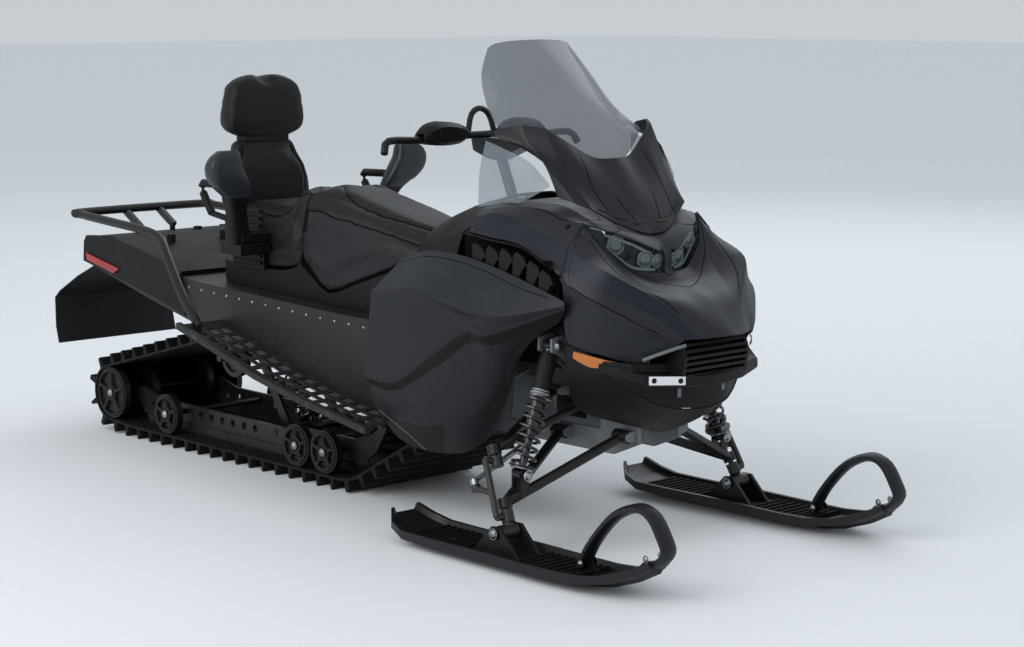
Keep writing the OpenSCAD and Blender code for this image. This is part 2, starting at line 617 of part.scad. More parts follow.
// ---- front body ----
// Half of the front body, from the console to the nose. Each row runs from the middle line
// out over the lamp, the stripe's upper and lower edge, the crease and the cheek: x, y, z.
cowl_half = [
    [[640, 0, 930], [640, 45, 930], [640, 110, 929], [642, 185, 924], [650, 230, 915],
        [662, 262, 900], [690, 300, 864], [692, 308, 858], [693, 310, 854], [694, 310, 850]],
    [[790, 0, 945], [790, 45, 945], [790, 110, 943], [786, 185, 940], [782, 235, 931],
        [779, 270, 914], [790, 308, 856], [792, 316, 850], [793, 318, 846], [794, 318, 842]],
    [[930, 0, 938], [930, 45, 938], [928, 110, 940], [922, 185, 945], [915, 236, 932],
        [906, 278, 888], [912, 312, 846], [914, 319, 840], [915, 321, 836], [916, 321, 832]],
    [[1050, 0, 895], [1048, 45, 897], [1035, 110, 903], [1012, 185, 920], [990, 232, 912],
        [985, 280, 868], [1000, 314, 812], [1003, 321, 805], [1004, 323, 801], [1005, 323, 797]],
    [[1150, 0, 822], [1156, 45, 829], [1132, 110, 858], [1090, 185, 888], [1052, 222, 904],
        [1058, 282, 845], [1072, 318, 785], [1075, 324, 776], [1076, 326, 770], [1077, 326, 765]],
    [[1160, 0, 764], [1160, 45, 766], [1136, 110, 776], [1108, 185, 838], [1062, 226, 893],
        [1078, 284, 836], [1095, 318, 777], [1106, 325, 748], [1086, 300, 650], [1060, 286, 588]],
    [[1228, 0, 736], [1226, 45, 736], [1214, 100, 743], [1192, 160, 758], [1188, 208, 776],
        [1201, 269, 786], [1194, 286, 737], [1202, 301, 705], [1190, 276, 624], [1160, 263, 563]],
    [[1300, 0, 702], [1308, 40, 696], [1306, 80, 699], [1299, 112, 704], [1293, 136, 707],
        [1287, 158, 706], [1290, 190, 672], [1296, 208, 640], [1262, 224, 618], [1250, 205, 546]],
    [[1402, 0, 618], [1398, 30, 617], [1390, 55, 615], [1380, 72, 613], [1374, 84, 612],
        [1368, 92, 611], [1345, 130, 610], [1346, 140, 606], [1338, 142, 600], [1330, 136, 592]]];
function whole(half) = [for (r = half) concat([for (k = [len(r) - 1 : -1 : 1]) flip_y(r[k])], r)];
cowl_n = 2;
cowl_edge = len(cowl_half[0]) - 1;
cowl = smooth(whole(cowl_half), cowl_n, 1);
// Part of a grid between rows i0..i1 and columns j0..j1, its own edges drawn in by d
function cut_shift(g, i, j, i0, i1, j0, j1, d) =
    (i == i0 ? d * unit(g[i + 1][j] - g[i][j]) : i == i1 ? d * unit(g[i - 1][j] - g[i][j]) : [0, 0, 0])
    + (j == j0 ? d * unit(g[i][j + 1] - g[i][j]) : j == j1 ? d * unit(g[i][j - 1] - g[i][j]) : [0, 0, 0]);
module window(g, i0, i1, j0, j1, t, d = 0.4) {
    m = i1 - i0 + 1;
    n = j1 - j0 + 1;
    loft_wall(
        [for (i = [i0 : i1]) [for (j = [j0 : j1]) g[i][j] + cut_shift(g, i, j, i0, i1, j0, j1, d)]],
        [for (i = [i0 : i1]) [for (j = [j0 : j1]) g[i][j] + cut_shift(g, i, j, i0, i1, j0, j1, d)
            - t * grid_normal(g, i, j)]]);
}
// A closed wall between an outer and an inner grid of the same size
module loft_wall(go, gi) {
    m = len(go);
    n = len(go[0]);
    s = m * n;
    function id(i, j) = i * n + j;
    faces = concat(
        [for (i = [0 : m - 2], j = [0 : n - 2], k = [0, 1]) k == 0
            ? [id(i, j), id(i, j + 1), id(i + 1, j + 1)]
            : [id(i, j), id(i + 1, j + 1), id(i + 1, j)]],
        [for (i = [0 : m - 2], j = [0 : n - 2], k = [0, 1]) k == 0
            ? [s + id(i, j), s + id(i + 1, j + 1), s + id(i, j + 1)]
            : [s + id(i, j), s + id(i + 1, j), s + id(i + 1, j + 1)]],
        [for (i = [0 : m - 2], k = [0 : 3])
            k == 0 ? [id(i, 0), id(i + 1, 0), s + id(i + 1, 0)]
            : k == 1 ? [id(i, 0), s + id(i + 1, 0), s + id(i, 0)]
            : k == 2 ? [id(i, n - 1), s + id(i + 1, n - 1), id(i + 1, n - 1)]
            : [id(i, n - 1), s + id(i, n - 1), s + id(i + 1, n - 1)]],
        [for (j = [0 : n - 2], k = [0 : 3])
            k == 0 ? [id(0, j), s + id(0, j + 1), id(0, j + 1)]
            : k == 1 ? [id(0, j), s + id(0, j), s + id(0, j + 1)]
            : k == 2 ? [id(m - 1, j), id(m - 1, j + 1), s + id(m - 1, j + 1)]
            : [id(m - 1, j), s + id(m - 1, j + 1), s + id(m - 1, j)]]);
    polyhedron([for (r = concat(go, gi), p = r) p], faces);
}
// Rows and columns of the cowl's own table, as places in the smooth grid
function cr(i) = i * cowl_n;
function cc(j) = j + cowl_edge;
// Half the gap between the hood and the nose
cowl_gap = 0.48;
module hood() color("#303238") {
    window(cowl, cr(0), cr(4), cc(-cowl_edge), cc(cowl_edge), panel_t, cowl_gap);
}
module nose() color("#35373b") {
    window(cowl, cr(5), cr(8), cc(-cowl_edge), cc(cowl_edge), panel_t);
    both_sides() window(cowl, cr(4), cr(5), cc(4), cc(cowl_edge), panel_t, cowl_gap);
}
lens_t = 4;
module headlights() color([0.75, 0.8, 0.85, 0.6]) {
    window(cowl, cr(4), cr(5), cc(0), cc(4), lens_t, gap);
    window(cowl, cr(4), cr(5), cc(-4), cc(0), lens_t, gap);
}
module grille() color("#111214") {
    difference() {
        plate([[1272, 500], [1272, 578], [1332, 596], [1346, 560], [1334, 500]], -128, 128);
        for (z = [512 : 17 : 580]) translate([1300, -118, z]) cube([60, 236, 8]);
    }
    both_sides() rod([1299, 100, 496.1], [1299, 100, 502], 5);
}
bumper_table = [[0, 1345, 472], [120, 1332, 476], [225, 1290, 492], [266, 1222, 516]];
bumper_d = 46;
module front_bumper() color("#101113") {
    half = bumper_table;
    loft([for (s = concat([for (k = [3 : -1 : 1]) [-half[k][0], half[k][1], half[k][2]]], half))
        [[s[1], s[0], s[2] - 30], [s[1], s[0], s[2] + 6], [s[1] - 22, s[0], s[2] + 20],
            [s[1] - bumper_d, s[0], s[2] + 20], [s[1] - bumper_d, s[0], s[2] - 46],
            [s[1] - 24, s[0], s[2] - 46]]]);
}
// Outline of an amber reflector, and the white plate's size
marker = [[1092, 549], [1116, 557], [1200, 542], [1140, 519]];
module front_markers() {
    color("#bd6a12") both_sides() {
        intersection() {
            loft_wall(belly_face(panel_t + gap), belly_face(panel_t + gap + 3));
            plate(marker, 240, 320);
        }
    }
    color("#f2f2f4") translate([bumper_table[0][1] + gap, -70, 449]) cube([3, 140, 26]);
}
function belly_face(t) = [for (i = [0 : 6]) [for (j = [14 : 20])
    belly_grid[i][j] - t * grid_normal(belly_grid, i, j)]];
belly_half = [
    [[1150, 0, 322], [1140, 100, 347], [1100, 168, 368], [1042, 232, 402], [1054, 278, 496],
        [1058, 285, 582]],
    [[1215, 0, 352], [1205, 100, 366], [1178, 180, 400], [1150, 232, 450], [1154, 262, 505],
        [1158, 263, 556]],
    [[1295, 0, 408], [1285, 95, 416], [1258, 160, 436], [1240, 200, 464], [1246, 206, 500],
        [1248, 205, 539]]];
belly_grid = smooth(whole(belly_half), 3, 2);
module belly_pan() color("#111314")
    window(belly_grid, 0, 6, 0, 20, panel_t);

// Side panel, from its rear edge to its front tip. Rows run down: x, y, z.
side_table = [
    [[428, 330, 761], [542, 332, 794], [690, 332, 793], [820, 331, 772], [930, 331, 748],
        [1097, 330, 705]],
    [[384, 412, 669], [568, 424, 698], [690, 428, 680], [800, 424, 662], [920, 404, 654],
        [1098, 331, 696]],
    [[343, 405, 418], [482, 408, 421], [640, 412, 511], [792, 408, 601], [868, 402, 598],
        [1096, 328, 688]],
    [[350, 386, 396], [466, 392, 394], [640, 395, 478], [785, 390, 568], [870, 380, 572],
        [1066, 316, 655]],
    [[352, 374, 330], [480, 378, 318], [620, 370, 330], [760, 350, 380], [840, 325, 450],
        [890, 300, 540]],
    [[410, 334, 238], [480, 325, 220], [570, 312, 216], [670, 302, 232], [750, 294, 280],
        [838, 284, 362]]];
side_grid = smooth(side_table, 1, 2);
module side_panel_left() color("#2a2c2f")
    window(side_grid, 0, 5, 0, 10, panel_t);
module side_panel_right() mirror([0, 1, 0]) side_panel_left();

// Tops of the gills: x, z
gill_tops = [[735, 834], [790, 832], [845, 829], [900, 824], [955, 804], [1003, 783]];
module side_louvres() color("#121315") both_sides() {
    for (g = gill_tops) translate([g[0], 0, g[1]]) plate([[-12, -66], [-8, -14], [4, 0], [34, -14],
        [46, -36], [34, -40], [14, -72]], 299, 330);
    plate([[690, 745], [690, 826], [880, 812], [1000, 770], [1040, 740], [1040, 672]], 288, 299.5);
}

// ---- screen ----
// Right half of the fairing, rows from the screen's foot down, then the screen, rows up
fairing_half = [
    [[955, 0, 1066], [938, 70, 1070], [909, 150, 1117], [886, 210, 1154], [835, 250, 1161],
        [772, 274, 1150]],
    [[1000, 0, 1012], [985, 72, 1018], [957, 148, 1060], [925, 206, 1090], [860, 247, 1112],
        [766, 277, 1128]],
    [[1048, 0, 952], [1034, 74, 960], [1004, 142, 988], [975, 192, 1012], [940, 224, 1040],
        [896, 246, 1086]],
    [[1108, 0, 866], [1106, 50, 873], [1080, 112, 897], [1050, 182, 938], [1004, 210, 955],
        [960, 227, 968]]];
// Foot of the screen, behind the fairing's top edge, and then its rows up
screen_half = [
    [[932, 0, 1050], [916, 68, 1054], [888, 146, 1100], [858, 200, 1136], [790, 236, 1140],
        [745, 246, 1138]],
    [[846, 0, 1180], [834, 66, 1183], [806, 132, 1190], [764, 184, 1198], [716, 212, 1202],
        [672, 226, 1204]],
    [[742, 0, 1286], [733, 62, 1288], [711, 122, 1290], [678, 170, 1292], [650, 190, 1290],
        [622, 203, 1288]],
    [[634, 0, screen_top], [629, 52, screen_top - 1], [622, 104, screen_top - 4],
        [612, 142, screen_top - 10], [606, 152, screen_top - 16], [600, 160, screen_top - 24]]];
fairing_grid = smooth(whole(fairing_half), 3, 1);
screen_grid = smooth(whole(screen_half), 3, 2);
screen_low = [for (i = [9 : -1 : 0]) screen_grid[i]];
function off(g, i, j, d) = g[i][j] - d * grid_normal(g, i, j);
module fairing() color("#1a1c20") {
    window(fairing_grid, 0, 9, 0, 10, panel_t);
    both_sides() {
        seat_post(off(fairing_grid, 8, 8, 3), cowl, cr(3), cc(3), -1);
        seat_post(off(fairing_grid, 8, 9, 3), cowl, cr(2) + 1, cc(4), -1);
        seat_post(off(fairing_grid, 1, 7, 3), screen_low, 9, 14, -1);
        seat_post(off(fairing_grid, 1, 8, 3), screen_low, 9, 16, -1);
    }
}
module windshield() color([0.5, 0.54, 0.58, 0.6])
    window(screen_low, 0, 9, 0, 20, screen_t);
wing_grid = smooth([
    [[735, 290, 1116], [800, 286, 1098], [890, 268, 1062], [950, 246, 1000]],
    [[722, 300, 1030], [775, 300, 1020], [850, 290, 1000], [905, 274, 968]],
    [[716, 300, 930], [765, 300, 938], [815, 295, 948], [862, 284, 950]]], 2, 2);
module wind_wings() color([0.6, 0.64, 0.68, 0.5]) both_sides() {
    window(wing_grid, 0, 4, 0, 6, screen_t);
    for (k = [1, 5]) seat_post(off(wing_grid, 4, k, 2), cowl, (k + 3) / 2, cc(4), -1);
}
console_grid = smooth([
    [[302, -160, 786], [302, -95, 832], [302, 0, 842], [302, 95, 832], [302, 160, 786]],
    [[440, -190, 806], [440, -120, 884], [440, 0, 904], [440, 120, 884], [440, 190, 806]],
    [[630, -200, 880], [630, -120, 940], [630, 0, 950], [630, 120, 940], [630, 200, 880]]], 3, 2);
module console() color("#1c1e21") difference() {
    window(console_grid, 0, 6, 0, 8, panel_t);
    translate([536, 0, 800]) cylinder(r = 46, h = 300, $fn = 32);
}

// ---- seats ----
// Rings of a seat along x: x, half width low, height low, half width high, height high
function seat_ring(s) = let(x = s[0], wl = s[1], zl = s[2], wh = s[3], zh = s[4]) [
    [x, -wl, zl], [x, wl, zl], [x, wl + 6, mix(zl, zh, 0.3)], [x, wh + 14, mix(zl, zh, 0.8)],
    [x, wh - 8, zh - 8], [x, wh * 0.5, zh], [x, -wh * 0.5, zh], [x, -wh + 8, zh - 8],
    [x, -wh - 14, mix(zl, zh, 0.8)], [x, -wl - 6, mix(zl, zh, 0.3)]];
rider_table = [[-260, 182, 682, 152, 918], [-185, 190, 640, 155, 911], [-105, 196, 598, 156, 895],
    [20, 198, 636, 156, 868], [150, 190, 678, 142, 840], [250, 172, 712, 122, 816],
    [290, 150, 738, 108, 804]];
passenger_table = [[-650, 150, 660, 140, 846], [-560, 180, 650, 150, 842], [-420, 186, 648, 150, 838],
    [-350, 184, 650, 148, 876], [-312, 180, 655, 146, 910], [-264, 178, 668, 145, 920]];
module rider_seat() color("#303338") loft([for (s = curve(rider_table, 2)) seat_ring(s)]);
module passenger_seat() color("#171a1c") loft([for (s = curve(passenger_table, 2)) seat_ring(s)]);
module seat_base() color("#16181a") {
    // top follows the undersides of both seats
    under = [for (t = [curve(passenger_table, 2), curve(rider_table, 2)], s = t) [s[0], s[2] - gap]];
    plate(concat([[240, line_z(tunnel_top, 240) + gap], [0, line_z(tunnel_top, 0) + gap],
        [-645, line_z(tunnel_top, -645) + gap], [-650, 600]], under), -seat_w / 2, seat_w / 2);
}
function pad_ring(z, x, t, w) = [[x - t, -w + 12, z], [x - t, w - 12, z], [x - t * 0.4, w, z],
    [x, w - 10, z], [x, -w + 10, z], [x - t * 0.4, -w, z]];
module backrest() color("#171a1c") loft([for (s = curve([[700, -650.6, 30, 150], [850, -650.6, 60, 190],
        [960, -650, 70, 165], [1030, -668, 60, 120], [1046, -672, 40, 95]], 2))
    pad_ring(s[0], s[1], s[2], s[3])]);
module headrest() color("#171a1c") loft([for (s = curve([[1046 + gap, -668, 44, 80], [1064, -660, 66, 130],
        [1090, -655, 78, 156], [1150, -652, 84, 152], [1218, -655, 78, 136], [1248, -664, 60, 92],
        [1258, -670, 40, 58]], 2))
    pad_ring(s[0], s[1], s[2], s[3] * headrest_w / 310)]);
// Deflector of a hand hold, from its foot up: z, x, y, half width, half thickness
deflector = [[716, -452, 272, 44, 36], [790, -440, 300, 40, 32], [848, -416, 342, 56, 30],
    [886, -396, 372, 84, 36], [960, -384, 380, 92, 38], [1008, -380, 374, 76, 32],
    [1032, -380, 368, 46, 20]];
grip = [-400, 330, 925];
module hand_holds() color("#1a1c1f") both_sides() {
    loft([for (s = curve(deflector, 2)) [for (k = [0 : 7]) [s[1] + s[4] * [-1, -0.6, 0.6, 1, 1, 0.6,
        -0.6, -1][k], s[2] + s[3] * [-0.5, -1, -1, -0.6, 0.6, 1, 1, 0.5][k], s[0]]]]);
    rod(grip, grip + [-164, 0, -4], 14);
    rod([-564, grip[1], grip[2] - 4], [-520, grip[1], 828], 10, 12);
    rod([-520, grip[1], 828], [-430, 320, 812], 10, 12);
    translate([-500, 196, 700]) cube([110, 118, 34]);
    translate([-470, 184.2, 737]) cube([66, 110, 28]);
}

// ---- handlebar ----
module handlebar() color("#17181a") {
    bar(curve([[412, -bar_half, 1066], [398, -bar_half + 28, 1100], [400, -240, 1098], [402, -120, 1104],
        [402, 0, 1106], [402, 120, 1104], [400, 240, 1098], [398, bar_half - 28, 1100],
        [412, bar_half, 1066]], 3), 2 * bar_r, 2 * bar_r, [0, 0, 1], 10);
    bar(curve([[395, -52, 1112], [390, -34, 1165], [388, 0, 1182], [390, 34, 1165], [395, 52, 1112]], 3),
        18, 18, [1, 0, 0]);
}
module riser() color("#1b1c1e") {
    rod(post_top, post_top + (bearing_drop + 24) * post_dir, post_r, 32);
    difference() {
        plate([[392, 1060], [384, 1092], [392, bar_mid[2] - bar_r - gap], [418, bar_mid[2] - bar_r - gap],
            [470, 1100], [590, 1092], [596, 1076], [520, 1046], [490, 1034], [450, 1040]], -30, 30);
        plate([[436, 1084], [492, 1082], [470, 1062]], -31, 31);
    }
}
// Switch pods, from the middle outwards: y, x, half depth, bottom, top
pod = [[72, 404, 27, 1100, 1127], [105, 400, 38, 1084, 1142], [165, 396, 42, 1080, 1150],
    [215, 398, 36, 1084, 1140], [240, 400, 26, 1092, 1124]];
module bar_controls() color("#141517") both_sides() difference() {
    loft([for (s = curve(pod, 2)) [[s[1] - s[2], s[0], s[3] + 12], [s[1] - s[2] * 0.5, s[0], s[3]],
        [s[1] + s[2] * 0.5, s[0], s[3]], [s[1] + s[2], s[0], s[3] + 12], [s[1] + s[2], s[0], s[4] - 14],
        [s[1] + s[2] * 0.4, s[0], s[4]], [s[1] - s[2] * 0.5, s[0], s[4]], [s[1] - s[2], s[0], s[4] - 14]]]);
    translate([bar_mid[0] - bar_r - 3, 60, 1060])
        cube([2 * bar_r + 5, 200, bar_mid[2] + bar_r + gap - 1060 - 0.7]);
}

tunnel();
running_boards();
tail_cover();
rear_lamps();
snow_flap();
cargo_rack();
track();
slide_rails();
skid_arms();
skid_shocks();
idler_wheels();
drive_axle();
bulkhead();
frame_tubes();
engine_block();
belly_pan();
side_panel_right();
side_panel_left();
side_louvres();
hood();
nose();
grille();
front_bumper();
headlights();
front_markers();
fairing();
windshield();
wind_wings();
console();
rider_seat();
passenger_seat();
seat_base();
backrest();
headrest();
hand_holds();
suspension_arms();
front_shocks();
spindle_right();
spindle_left();
ski_right();
ski_left();
tie_rod_right();
tie_rod_left();
handlebar();
riser();
bar_controls();
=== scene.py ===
"""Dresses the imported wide-track snowmobile: moulded panels, padded seats, lamps, trim and a studio stage."""
import json
import math

import bmesh
import bpy
import numpy as np
from bpy.props import FloatProperty, FloatVectorProperty, IntProperty, PointerProperty
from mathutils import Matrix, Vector

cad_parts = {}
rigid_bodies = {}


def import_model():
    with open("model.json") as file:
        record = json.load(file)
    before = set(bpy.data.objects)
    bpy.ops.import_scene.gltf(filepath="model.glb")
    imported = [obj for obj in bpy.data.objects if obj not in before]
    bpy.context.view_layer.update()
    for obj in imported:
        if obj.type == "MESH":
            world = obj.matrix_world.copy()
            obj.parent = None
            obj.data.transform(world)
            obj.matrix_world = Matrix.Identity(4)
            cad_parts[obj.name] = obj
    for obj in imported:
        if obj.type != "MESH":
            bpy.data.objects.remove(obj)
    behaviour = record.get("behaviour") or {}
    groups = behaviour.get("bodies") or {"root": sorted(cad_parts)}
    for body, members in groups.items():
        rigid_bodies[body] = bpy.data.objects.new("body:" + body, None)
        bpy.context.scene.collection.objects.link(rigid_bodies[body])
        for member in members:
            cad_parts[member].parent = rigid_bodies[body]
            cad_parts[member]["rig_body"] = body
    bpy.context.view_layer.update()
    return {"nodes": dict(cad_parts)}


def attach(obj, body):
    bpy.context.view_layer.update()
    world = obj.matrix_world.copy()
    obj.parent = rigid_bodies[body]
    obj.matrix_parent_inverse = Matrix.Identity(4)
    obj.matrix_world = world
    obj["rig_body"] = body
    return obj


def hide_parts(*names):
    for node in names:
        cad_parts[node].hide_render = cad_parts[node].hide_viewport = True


bl_info = {
    "name": "Snowmobile dresser",
    "version": (1, 0, 0),
    "blender": (4, 5, 0),
    "location": "View3D > Sidebar > Snowmobile",
    "description": "Panels, seats, lamps and trim for the packed snowmobile",
    "category": "Object",
}

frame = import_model()
MM = 0.001


# ---------------------------------------------------------------- colour and material tools
def linear(code):
    """sRGB hex code to linear RGBA."""
    c = np.array([int(code[i:i + 2], 16) for i in (1, 3, 5)]) / 255
    c = np.where(c <= 0.04045, c / 12.92, ((c + 0.055) / 1.055) ** 2.4)
    return (*[float(v) for v in c], 1.0)


def add_node(mat, kind, settings=None, inputs=None, links=None):
    """Adds one shader node. settings are its own attributes, inputs are socket values,
    and links map a socket to (node, output socket)."""
    tree = mat.node_tree
    n = tree.nodes.new(kind)
    for k, v in (settings or {}).items():
        setattr(n, k, v)
    for k, v in (inputs or {}).items():
        n.inputs[k].default_value = v
    for k, (src, out) in (links or {}).items():
        tree.links.new(src.outputs[out], n.inputs[k])
    return n


def new_material(name, **shader):
    mat = bpy.data.materials.new(name)
    mat.use_nodes = True
    b = mat.node_tree.nodes["Principled BSDF"]
    for k, v in shader.items():
        b.inputs[k.replace("_", " ")].default_value = v
    return mat, b


def cycles_per_metre(mm):
    """Noise scale whose features are mm across."""
    return 1000.0 / mm


def surface(name, color, dark, rough, rough_span, grain_mm, bump_mm, patch_mm=90, stretch=(1, 1, 1),
            frost=0.0, **shader):
    """A finish with slow changes of colour and roughness over patch_mm, and fine grain over grain_mm
    in the bump. stretch turns the grain into brushing. frost is the share of dry dust."""
    mat, b = new_material(name, **shader)
    at = add_node(mat, "ShaderNodeTexCoord")
    space = add_node(mat, "ShaderNodeMapping", inputs={"Scale": stretch}, links={"Vector": (at, "Object")})
    slow = add_node(mat, "ShaderNodeTexNoise", inputs={"Scale": cycles_per_metre(patch_mm), "Detail": 3.0},
                    links={"Vector": (at, "Object")})
    fine = add_node(mat, "ShaderNodeTexNoise", inputs={"Scale": cycles_per_metre(grain_mm), "Detail": 2.0},
                    links={"Vector": (space, "Vector")})
    tint = add_node(mat, "ShaderNodeValToRGB", links={"Fac": (slow, "Fac")})
    tint.color_ramp.elements[0].position, tint.color_ramp.elements[1].position = 0.32, 0.68
    tint.color_ramp.elements[0].color, tint.color_ramp.elements[1].color = linear(dark), linear(color)
    last, out = tint, "Color"
    if frost:
        dust = add_node(mat, "ShaderNodeTexNoise", inputs={"Scale": cycles_per_metre(34), "Detail": 6.0,
                        "Roughness": 0.7}, links={"Vector": (at, "Object")})
        share = add_node(mat, "ShaderNodeMapRange", inputs={"From Min": 0.62 - 0.1 * frost, "From Max": 0.8,
                         "To Min": 0.0, "To Max": 0.5 * frost}, links={"Value": (dust, "Fac")})
        last = add_node(mat, "ShaderNodeMix", settings={"data_type": "RGBA"},
                        links={"Factor": (share, "Result"), "A": (tint, "Color")})
        last.inputs["B"].default_value = linear("#8f9599")
        out = "Result"
    gloss = add_node(mat, "ShaderNodeMapRange", inputs={"From Min": 0.3, "From Max": 0.7,
                     "To Min": rough - rough_span, "To Max": rough + rough_span},
                     links={"Value": (slow, "Fac")})
    bump = add_node(mat, "ShaderNodeBump", inputs={"Strength": 0.5, "Distance": bump_mm * MM},
                    links={"Height": (fine, "Fac")})
    links = mat.node_tree.links
    links.new(last.outputs[2 if frost else out], b.inputs["Base Color"])
    links.new(gloss.outputs["Result"], b.inputs["Roughness"])
    links.new(bump.outputs["Normal"], b.inputs["Normal"])
    return mat


MATERIALS = {}


def make_materials():
    m = MATERIALS
    # hood and nose: satin pigmented ABS, injection moulded, faint orange peel
    m["hood_abs"] = surface("satin_graphite_abs_moulded", "#232529", "#1f2125", 0.42, 0.04, 5, 0.03,
                            Specular_IOR_Level=0.3)
    # the hood's two bands: the same moulding in deep navy
    m["navy"] = surface("satin_navy_abs_moulded", "#151a28", "#121723", 0.4, 0.04, 5, 0.03,
                        Specular_IOR_Level=0.3)
    # side panels: matte graphite ABS with a fine spark grain
    m["side_abs"] = surface("matte_graphite_abs_moulded", "#1b1d20", "#181a1d", 0.46, 0.04, 3, 0.05,
                            Specular_IOR_Level=0.28)
    m["side_top"] = surface("satin_slate_abs_moulded", "#20232a", "#1c1f26", 0.42, 0.04, 4, 0.03,
                            Specular_IOR_Level=0.3)
    # fairing: deeper graphite with more gloss
    m["dark_abs"] = surface("gloss_dark_abs_moulded", "#17191e", "#14161a", 0.36, 0.04, 4, 0.03,
                            Specular_IOR_Level=0.32)
    # belly pan, louvres, console: black polypropylene with a spark-eroded grain, nearly dead matte
    m["black_pp"] = surface("textured_black_polypropylene", "#0c0d0e", "#090a0b", 0.55, 0.05, 1.6, 0.12,
                            Specular_IOR_Level=0.26)
    # pale grey for the painted highlight on each cheek's front edge
    m["edge_highlight_grey"] = surface("painted_edge_highlight_grey", "#6d7175", "#5f6367", 0.5, 0.05, 1.6, 0.1,
                           Specular_IOR_Level=0.35)
    # tunnel: satin paint over rolled aluminium sheet, olive grey, dusty
    m["tunnel"] = surface("satin_painted_aluminium_sheet", "#212220", "#1b1c1b", 0.45, 0.06, 26, 0.15,
                          patch_mm=220, frost=0.25, Specular_IOR_Level=0.4)
    m["tunnel_band"] = surface("satin_navy_painted_band", "#10131a", "#0d1016", 0.4, 0.05, 26, 0.1,
                               patch_mm=220, Specular_IOR_Level=0.4)
    m["board"] = surface("textured_painted_board", "#24241f", "#191a18", 0.5, 0.07, 3, 0.2, frost=0.6,
                         Specular_IOR_Level=0.35)
    # tubes and arms: black powder coat, fine orange peel
    m["powder"] = surface("black_powder_coat", "#0f1011", "#0b0c0d", 0.4, 0.05, 1.8, 0.08,
                          Specular_IOR_Level=0.4)
    # skid rails: extruded aluminium, dark paint, scuffed
    m["rail"] = surface("painted_extruded_rail", "#2b2a27", "#1f1e1c", 0.45, 0.08, 6, 0.1, frost=0.3,
                        Specular_IOR_Level=0.4)
    # bulkhead: sand-cast aluminium, as cast
    m["cast"] = surface("cast_aluminium", "#84878a", "#6c6f72", 0.5, 0.08, 2.5, 0.25, Metallic=0.35)
    m["forged"] = surface("forged_aluminium_painted", "#2b2a28", "#201f1e", 0.42, 0.07, 4, 0.15,
                          Specular_IOR_Level=0.45)
    # bolts, rods: zinc plate, a soft silver
    m["steel"] = surface("zinc_plated_steel", "#b4b7ba", "#8b8e91", 0.3, 0.08, 2, 0.05, Metallic=1.0)
    # springs: wound wire, dark enamel
    m["spring"] = surface("enamelled_spring_wire", "#191b1e", "#131517", 0.3, 0.05, 3, 0.04,
                          Specular_IOR_Level=0.5, Coat_Weight=0.3)
    # track and flap: moulded rubber
    m["rubber"] = surface("moulded_black_rubber", "#101112", "#0a0b0b", 0.7, 0.07, 3.5, 0.5, patch_mm=140,
                          frost=0.35, Specular_IOR_Level=0.25)
    m["flap"] = surface("moulded_flap_rubber", "#0d0e0f", "#090a0b", 0.6, 0.06, 3.5, 0.3, patch_mm=200,
                        Specular_IOR_Level=0.25)
    m["flap_band"] = surface("moulded_grey_rubber_band", "#202224", "#191b1c", 0.6, 0.06, 3.5, 0.3,
                             Specular_IOR_Level=0.25)
    # skis: moulded high-density polyethylene, waxy sheen
    m["uhmw"] = surface("moulded_ski_polyethylene", "#17191c", "#121417", 0.44, 0.05, 4, 0.12,
                        Specular_IOR_Level=0.35)
    m["tread"] = surface("moulded_tread_pad_rubber", "#0b0c0c", "#080808", 0.8, 0.05, 2, 0.4, frost=0.3,
                         Specular_IOR_Level=0.2)
    m["wheel"] = surface("glass_filled_nylon", "#121314", "#0c0d0e", 0.5, 0.05, 2, 0.1, frost=0.25,
                         Specular_IOR_Level=0.35)
    m["engine"] = surface("cast_engine_alloy", "#2a2b2d", "#1c1d1e", 0.5, 0.08, 3, 0.3, Metallic=0.8)
    # seats: polyurethane-coated vinyl with a leather grain
    m["vinyl"] = surface("black_grained_vinyl", "#0e1011", "#0b0c0d", 0.54, 0.04, 2.2, 0.3, patch_mm=160,
                         Sheen_Weight=0.03, Specular_IOR_Level=0.3)
    m["vinyl_side"] = surface("graphite_grained_vinyl", "#1a1c1f", "#16181b", 0.5, 0.04, 2.2, 0.28,
                              patch_mm=160, Sheen_Weight=0.03, Specular_IOR_Level=0.34)
    m["thread"] = surface("waxed_polyester_thread", "#3a3d42", "#2c2f33", 0.6, 0.05, 1, 0.1)
    # seams: the shadow in a panel gap
    m["seam"] = surface("shadowed_seam", "#040404", "#030303", 0.8, 0.03, 4, 0.02, Specular_IOR_Level=0.1)
    m["silver"] = surface("silver_pigmented_abs_line", "#7c8186", "#6a6f74", 0.35, 0.05, 4, 0.03)
    m["amber"] = surface("amber_acrylic_reflector", "#c8700f", "#b06008", 0.22, 0.03, 4, 0.3,
                         Specular_IOR_Level=0.5, Coat_Weight=0.4)
    m["red"] = surface("red_acrylic_reflector", "#b01212", "#900c0c", 0.24, 0.03, 4, 0.3,
                       Specular_IOR_Level=0.5, Coat_Weight=0.4)
    m["white"] = surface("white_painted_plate", "#f4f4f5", "#e9eaec", 0.35, 0.04, 6, 0.03)
